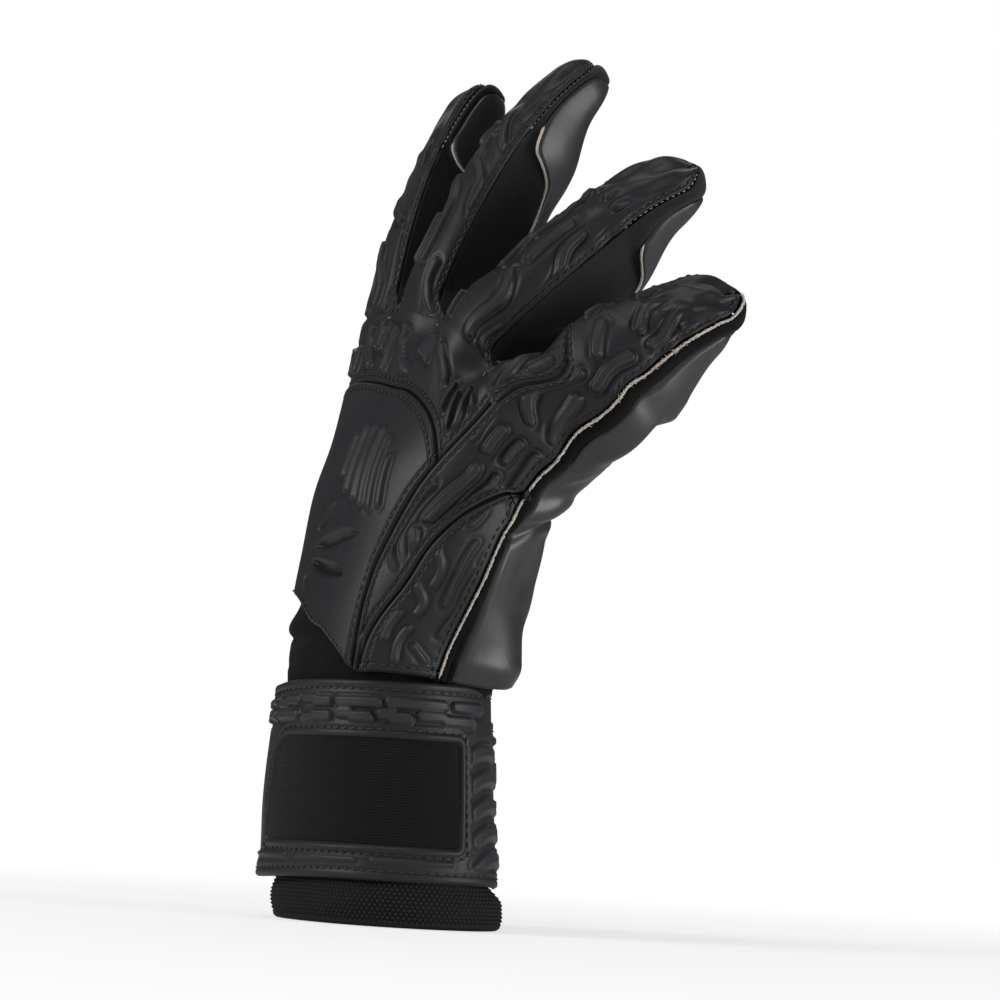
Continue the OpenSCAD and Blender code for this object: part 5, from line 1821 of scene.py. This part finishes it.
    def press(self, patch, x, z, inside, x0):
        """Raised plates over the window, curved ribs beside it, and thin bars under it."""
        s = sizes()
        rng = np.random.default_rng(98)
        low, high = WINDOW[3] + 4.4, STRAP_TOP + STRAP_RISE - 4.6
        plates = []
        for level, at in ((low + 2.0, x0 - 9.0), (high - 2.4, x0 - 16.0)):
            while at < x.max():
                wide = rng.uniform(8, 19)
                step = rng.choice([-1.0, 0.0, 1.0])
                bend, end = at + wide * 0.55, at + wide
                stepped = level + step
                plates.append([(at, level), (bend, level), (bend + wide * 0.07, stepped), (end, stepped)])
                at = end + PLATE_GAP
        plate = bars(distance_to(x, z, plates), half=1.6, height=1.0, rim=0.8)
        ribs = []
        for level in np.arange(STRAP_BOTTOM + 7.5, WINDOW[3] + 3, RIB_PITCH):
            line = [(x0 - before, level + rise) for before, rise in RIB_LINE]
            ribs.append(rounded([*line, (x.min(), level)]))
        rib = 0.9 * bars(distance_to(x, z, ribs), half=1.9, height=1.0, rim=1.6)
        clear = ease((inside - 4.0) / 1.0) * ease((patch.edge(("low", "high")) - 4.4) / 1.0)
        shape = (plate * mm(s.plate_height) + np.where(x < x0, rib, 0)) * clear
        under = [[(a, UNDER_LEVEL), (a + 24, UNDER_LEVEL)] for a in np.arange(x0 + 3, x.max(), 30.0)]
        thin = bars(distance_to(x, z, under), half=0.6, height=0.55, rim=0.8)
        # painted highlight on the raised plates, ribs and bars
        patch.paint = patch.paint + np.clip(shape + thin, 0, 1)
        patch.raise_by(shape + thin)

    def stitch_frame(self, sewing, patch, x, xs):
        """Stitch row round the window."""
        x0, x1 = xs[0] - WINDOW_INSET, xs[1] + WINDOW_INSET
        z0, z1 = WINDOW[2] - WINDOW_INSET, WINDOW[3] + WINDOW_INSET
        turn = np.linspace(0, np.pi / 2, 10)
        r = WINDOW_CORNER + WINDOW_INSET
        corner = [x1 - WINDOW_LEAN - r + r * np.sin(turn), z1 - r + r * np.cos(turn)]
        line = evenly([(x0, z0), (x0 - WINDOW_LEAN, z1), *np.transpose(corner), (x1, z0), (x0, z0)])
        places = np.interp(line[:, 0], x[0], patch.u[0])
        angles = mix(HINGE_ANGLE, STRAP_END, places)
        low, high = strap_level(angles, 0.0), strap_level(angles, 1.0)
        add_stitches(sewing, *patch.curve_on(places, (line[:, 1] - low) / (high - low)))


LINING_DEPTH = 4.2


class GLOVE_OT_linings(bpy.types.Operator):
    """Make the linings inside the hand, the fingers and the thumb"""

    bl_idname = "glove.linings"
    bl_label = "Linings"

    def execute(self, context):
        for name, low, high, node in (
            ("back_lining", 4, 176, "backhand_lining"), ("palm_lining_cloth", 190, 356, "palm_lining")
        ):
            patch = hand_patch(
                lambda t: low + 0 * t, lambda t: high + 0 * t,
                lambda u: low_edge(u) + 3, lambda u: top_edge(u) - 4, cols=70, rows=60,
            )
            patch.raise_by(-LINING_DEPTH)
            add_cloth(name, patch, "lining", "lining", (node,), ["palm"], "hand")
        for name, finger in FINGERS.items():
            u, v = np.meshgrid(np.linspace(0, 360, 49), np.linspace(0.0, 0.93, 50))
            self.inner_tube(name, *finger.surface(u + finger.seams[0], v), finger=finger)
        u, at = np.meshgrid(np.linspace(0, 360, 49), np.linspace(0.5, 56, 40))
        self.inner_tube("thumb", THUMB.point(u, at), THUMB.centre(at), body="thumb")
        return {"FINISHED"}

    def inner_tube(self, name, points, core, **moves):
        """The lining of a finger or of the thumb."""
        patch = Patch(points, core, ring=True).raise_by(-LINING_DEPTH)
        nodes = (name + "_lining",)
        rests_on = [name + "_pad"]
        add_cloth(name + "_lining_tube", patch, "lining", "lining", nodes, rests_on, weld=True, **moves)


AIM = Vector((0.0199, 0.0199, 0.1367))
VIEW_AZIMUTH, VIEW_ELEVATION, VIEW_ROLL = math.radians(56.6), math.radians(-6.0), math.radians(3.3)
VIEW_DISTANCE, LENS = 1.0, 112.32
# Strength of the sky for all but the camera's rays
SKY = 0.09
# Lamps: name, place to the right of the object, nearer to the camera and above it, power, width
LAMPS = (
    ("left", -1.0, 0.3, 0.5, 7.0, 0.4),
    ("right", 0.95, 0.5, 0.16, 7.8, 0.5),
    ("top", -0.15, 0.2, 1.2, 3.4, 0.45),
    ("front", 0.1, 1.3, 0.5, 1.2, 0.6),
    ("far", 0.0, -1.2, 0.7, 4.2, 0.9),
)
# Plain share of the floor's look near the object, and the distances between which it grows to 1
PLAIN_SHARE, FLOOR_NEAR, FLOOR_FAR = 0.68, 0.12, 0.6


class GLOVE_OT_stage(bpy.types.Operator):
    """Make the floor, the lights and the camera"""

    bl_idname = "glove.stage"
    bl_label = "Stage"

    def execute(self, context):
        scene = context.scene
        scene.view_settings.view_transform = "Standard"
        bm = bmesh.new()
        bmesh.ops.create_grid(bm, x_segments=1, y_segments=1, size=40.0)
        floor = from_bmesh("floor", bm, self.floor_finish(), False)
        world = bpy.data.worlds.new("Studio")
        scene.world = world
        world.use_nodes = True
        tree = world.node_tree
        seen = Socket(tree).node("ShaderNodeLightPath", output="Is Camera Ray")
        light = {"Color": (1.0, 1.0, 1.0, 1.0), "Strength": seen * (1 - SKY) + SKY}
        plug(tree, tree.nodes["Background"].inputs, light)
        a, e = VIEW_AZIMUTH, VIEW_ELEVATION
        back = Vector((math.sin(a) * math.cos(e), -math.cos(a) * math.cos(e), math.sin(e)))
        right = Vector((math.cos(a), math.sin(a), 0.0))
        for name, sideways, nearer, height, power, width in LAMPS:
            place = AIM + right * sideways + back * nearer + Vector((0.0, 0.0, height))
            data = bpy.data.lights.new(name, "AREA")
            data.energy, data.size = power, width
            lamp = link(bpy.data.objects.new(name, data))
            lamp.location = place
            lamp.rotation_euler = (AIM - place).to_track_quat("-Z", "Y").to_euler()
        data = bpy.data.cameras.new("camera")
        data.lens, data.sensor_width = LENS, 36.0
        data.clip_start, data.clip_end = 0.01, 50.0
        camera = link(bpy.data.objects.new("camera", data))
        camera.location = AIM + back * VIEW_DISTANCE
        turn = (-back).to_track_quat("-Z", "Y")
        camera.rotation_mode = "QUATERNION"
        camera.rotation_quaternion = Quaternion(back, VIEW_ROLL) @ turn
        scene.camera = camera
        return {"FINISHED"}

    def floor_finish(self):
        """The floor: plain white to the camera, apart from the shadow near the object."""
        finish = Finish("Floor")
        colour = tint(bpy.context.scene.glove_colours.floor)
        plug(finish.tree, finish.shader.inputs, {"Base Color": colour, "Roughness": 0.9})
        start = finish.start
        seen = start.node("ShaderNodeLightPath", output="Is Camera Ray")
        away = start.node("ShaderNodeVectorMath", {"operation": "LENGTH"}, {0: finish.place}, "Value")
        # next to the object a third of what is seen is lit by the lamps, and so keeps its shadow
        reach = {0: away, 1: FLOOR_NEAR, 2: FLOOR_FAR, 3: PLAIN_SHARE, 4: 1.0}
        far = start.node("ShaderNodeMapRange", None, reach)
        plain = start.node("ShaderNodeEmission", inputs={"Color": (1.0, 1.0, 1.0, 1.0), "Strength": 1.0})
        lit = Socket(finish.tree, finish.shader.outputs["BSDF"])
        mixed = start.node("ShaderNodeMixShader", inputs={0: seen * far, 1: lit, 2: plain})
        plug(finish.tree, finish.tree.nodes["Material Output"].inputs, {"Surface": mixed})
        return finish.material


OPERATORS = (
    GLOVE_OT_stage, GLOVE_OT_back, GLOVE_OT_palm, GLOVE_OT_fingers,
    GLOVE_OT_thumb, GLOVE_OT_cuff, GLOVE_OT_strap, GLOVE_OT_linings,
)


class GLOVE_PT_panel(bpy.types.Panel):
    """Sidebar panel with the glove's sizes, colours and pieces"""

    bl_label = "Goalkeeper Glove"
    bl_idname = "GLOVE_PT_panel"
    bl_space_type = "VIEW_3D"
    bl_region_type = "UI"
    bl_category = "Glove"

    def draw(self, context):
        layout = self.layout
        for group in (context.scene.glove_sizes, context.scene.glove_colours):
            for key in group.bl_rna.properties.keys():
                if key not in ("rna_type", "name"):
                    layout.prop(group, key)
        for operator in OPERATORS:
            layout.operator(operator.bl_idname)


CLASSES = (GloveSizes, GloveColours, *OPERATORS, GLOVE_PT_panel)


def register():
    for c in CLASSES:
        bpy.utils.register_class(c)
    bpy.types.Scene.glove_sizes = PointerProperty(type=GloveSizes)
    bpy.types.Scene.glove_colours = PointerProperty(type=GloveColours)


def unregister():
    del bpy.types.Scene.glove_colours
    del bpy.types.Scene.glove_sizes
    for c in reversed(CLASSES):
        bpy.utils.unregister_class(c)


def main():
    register()
    for call in (
        bpy.ops.glove.stage, bpy.ops.glove.back, bpy.ops.glove.palm, bpy.ops.glove.fingers,
        bpy.ops.glove.thumb, bpy.ops.glove.cuff, bpy.ops.glove.strap, bpy.ops.glove.linings,
    ):
        call()


if __name__ == "__main__":
    main()
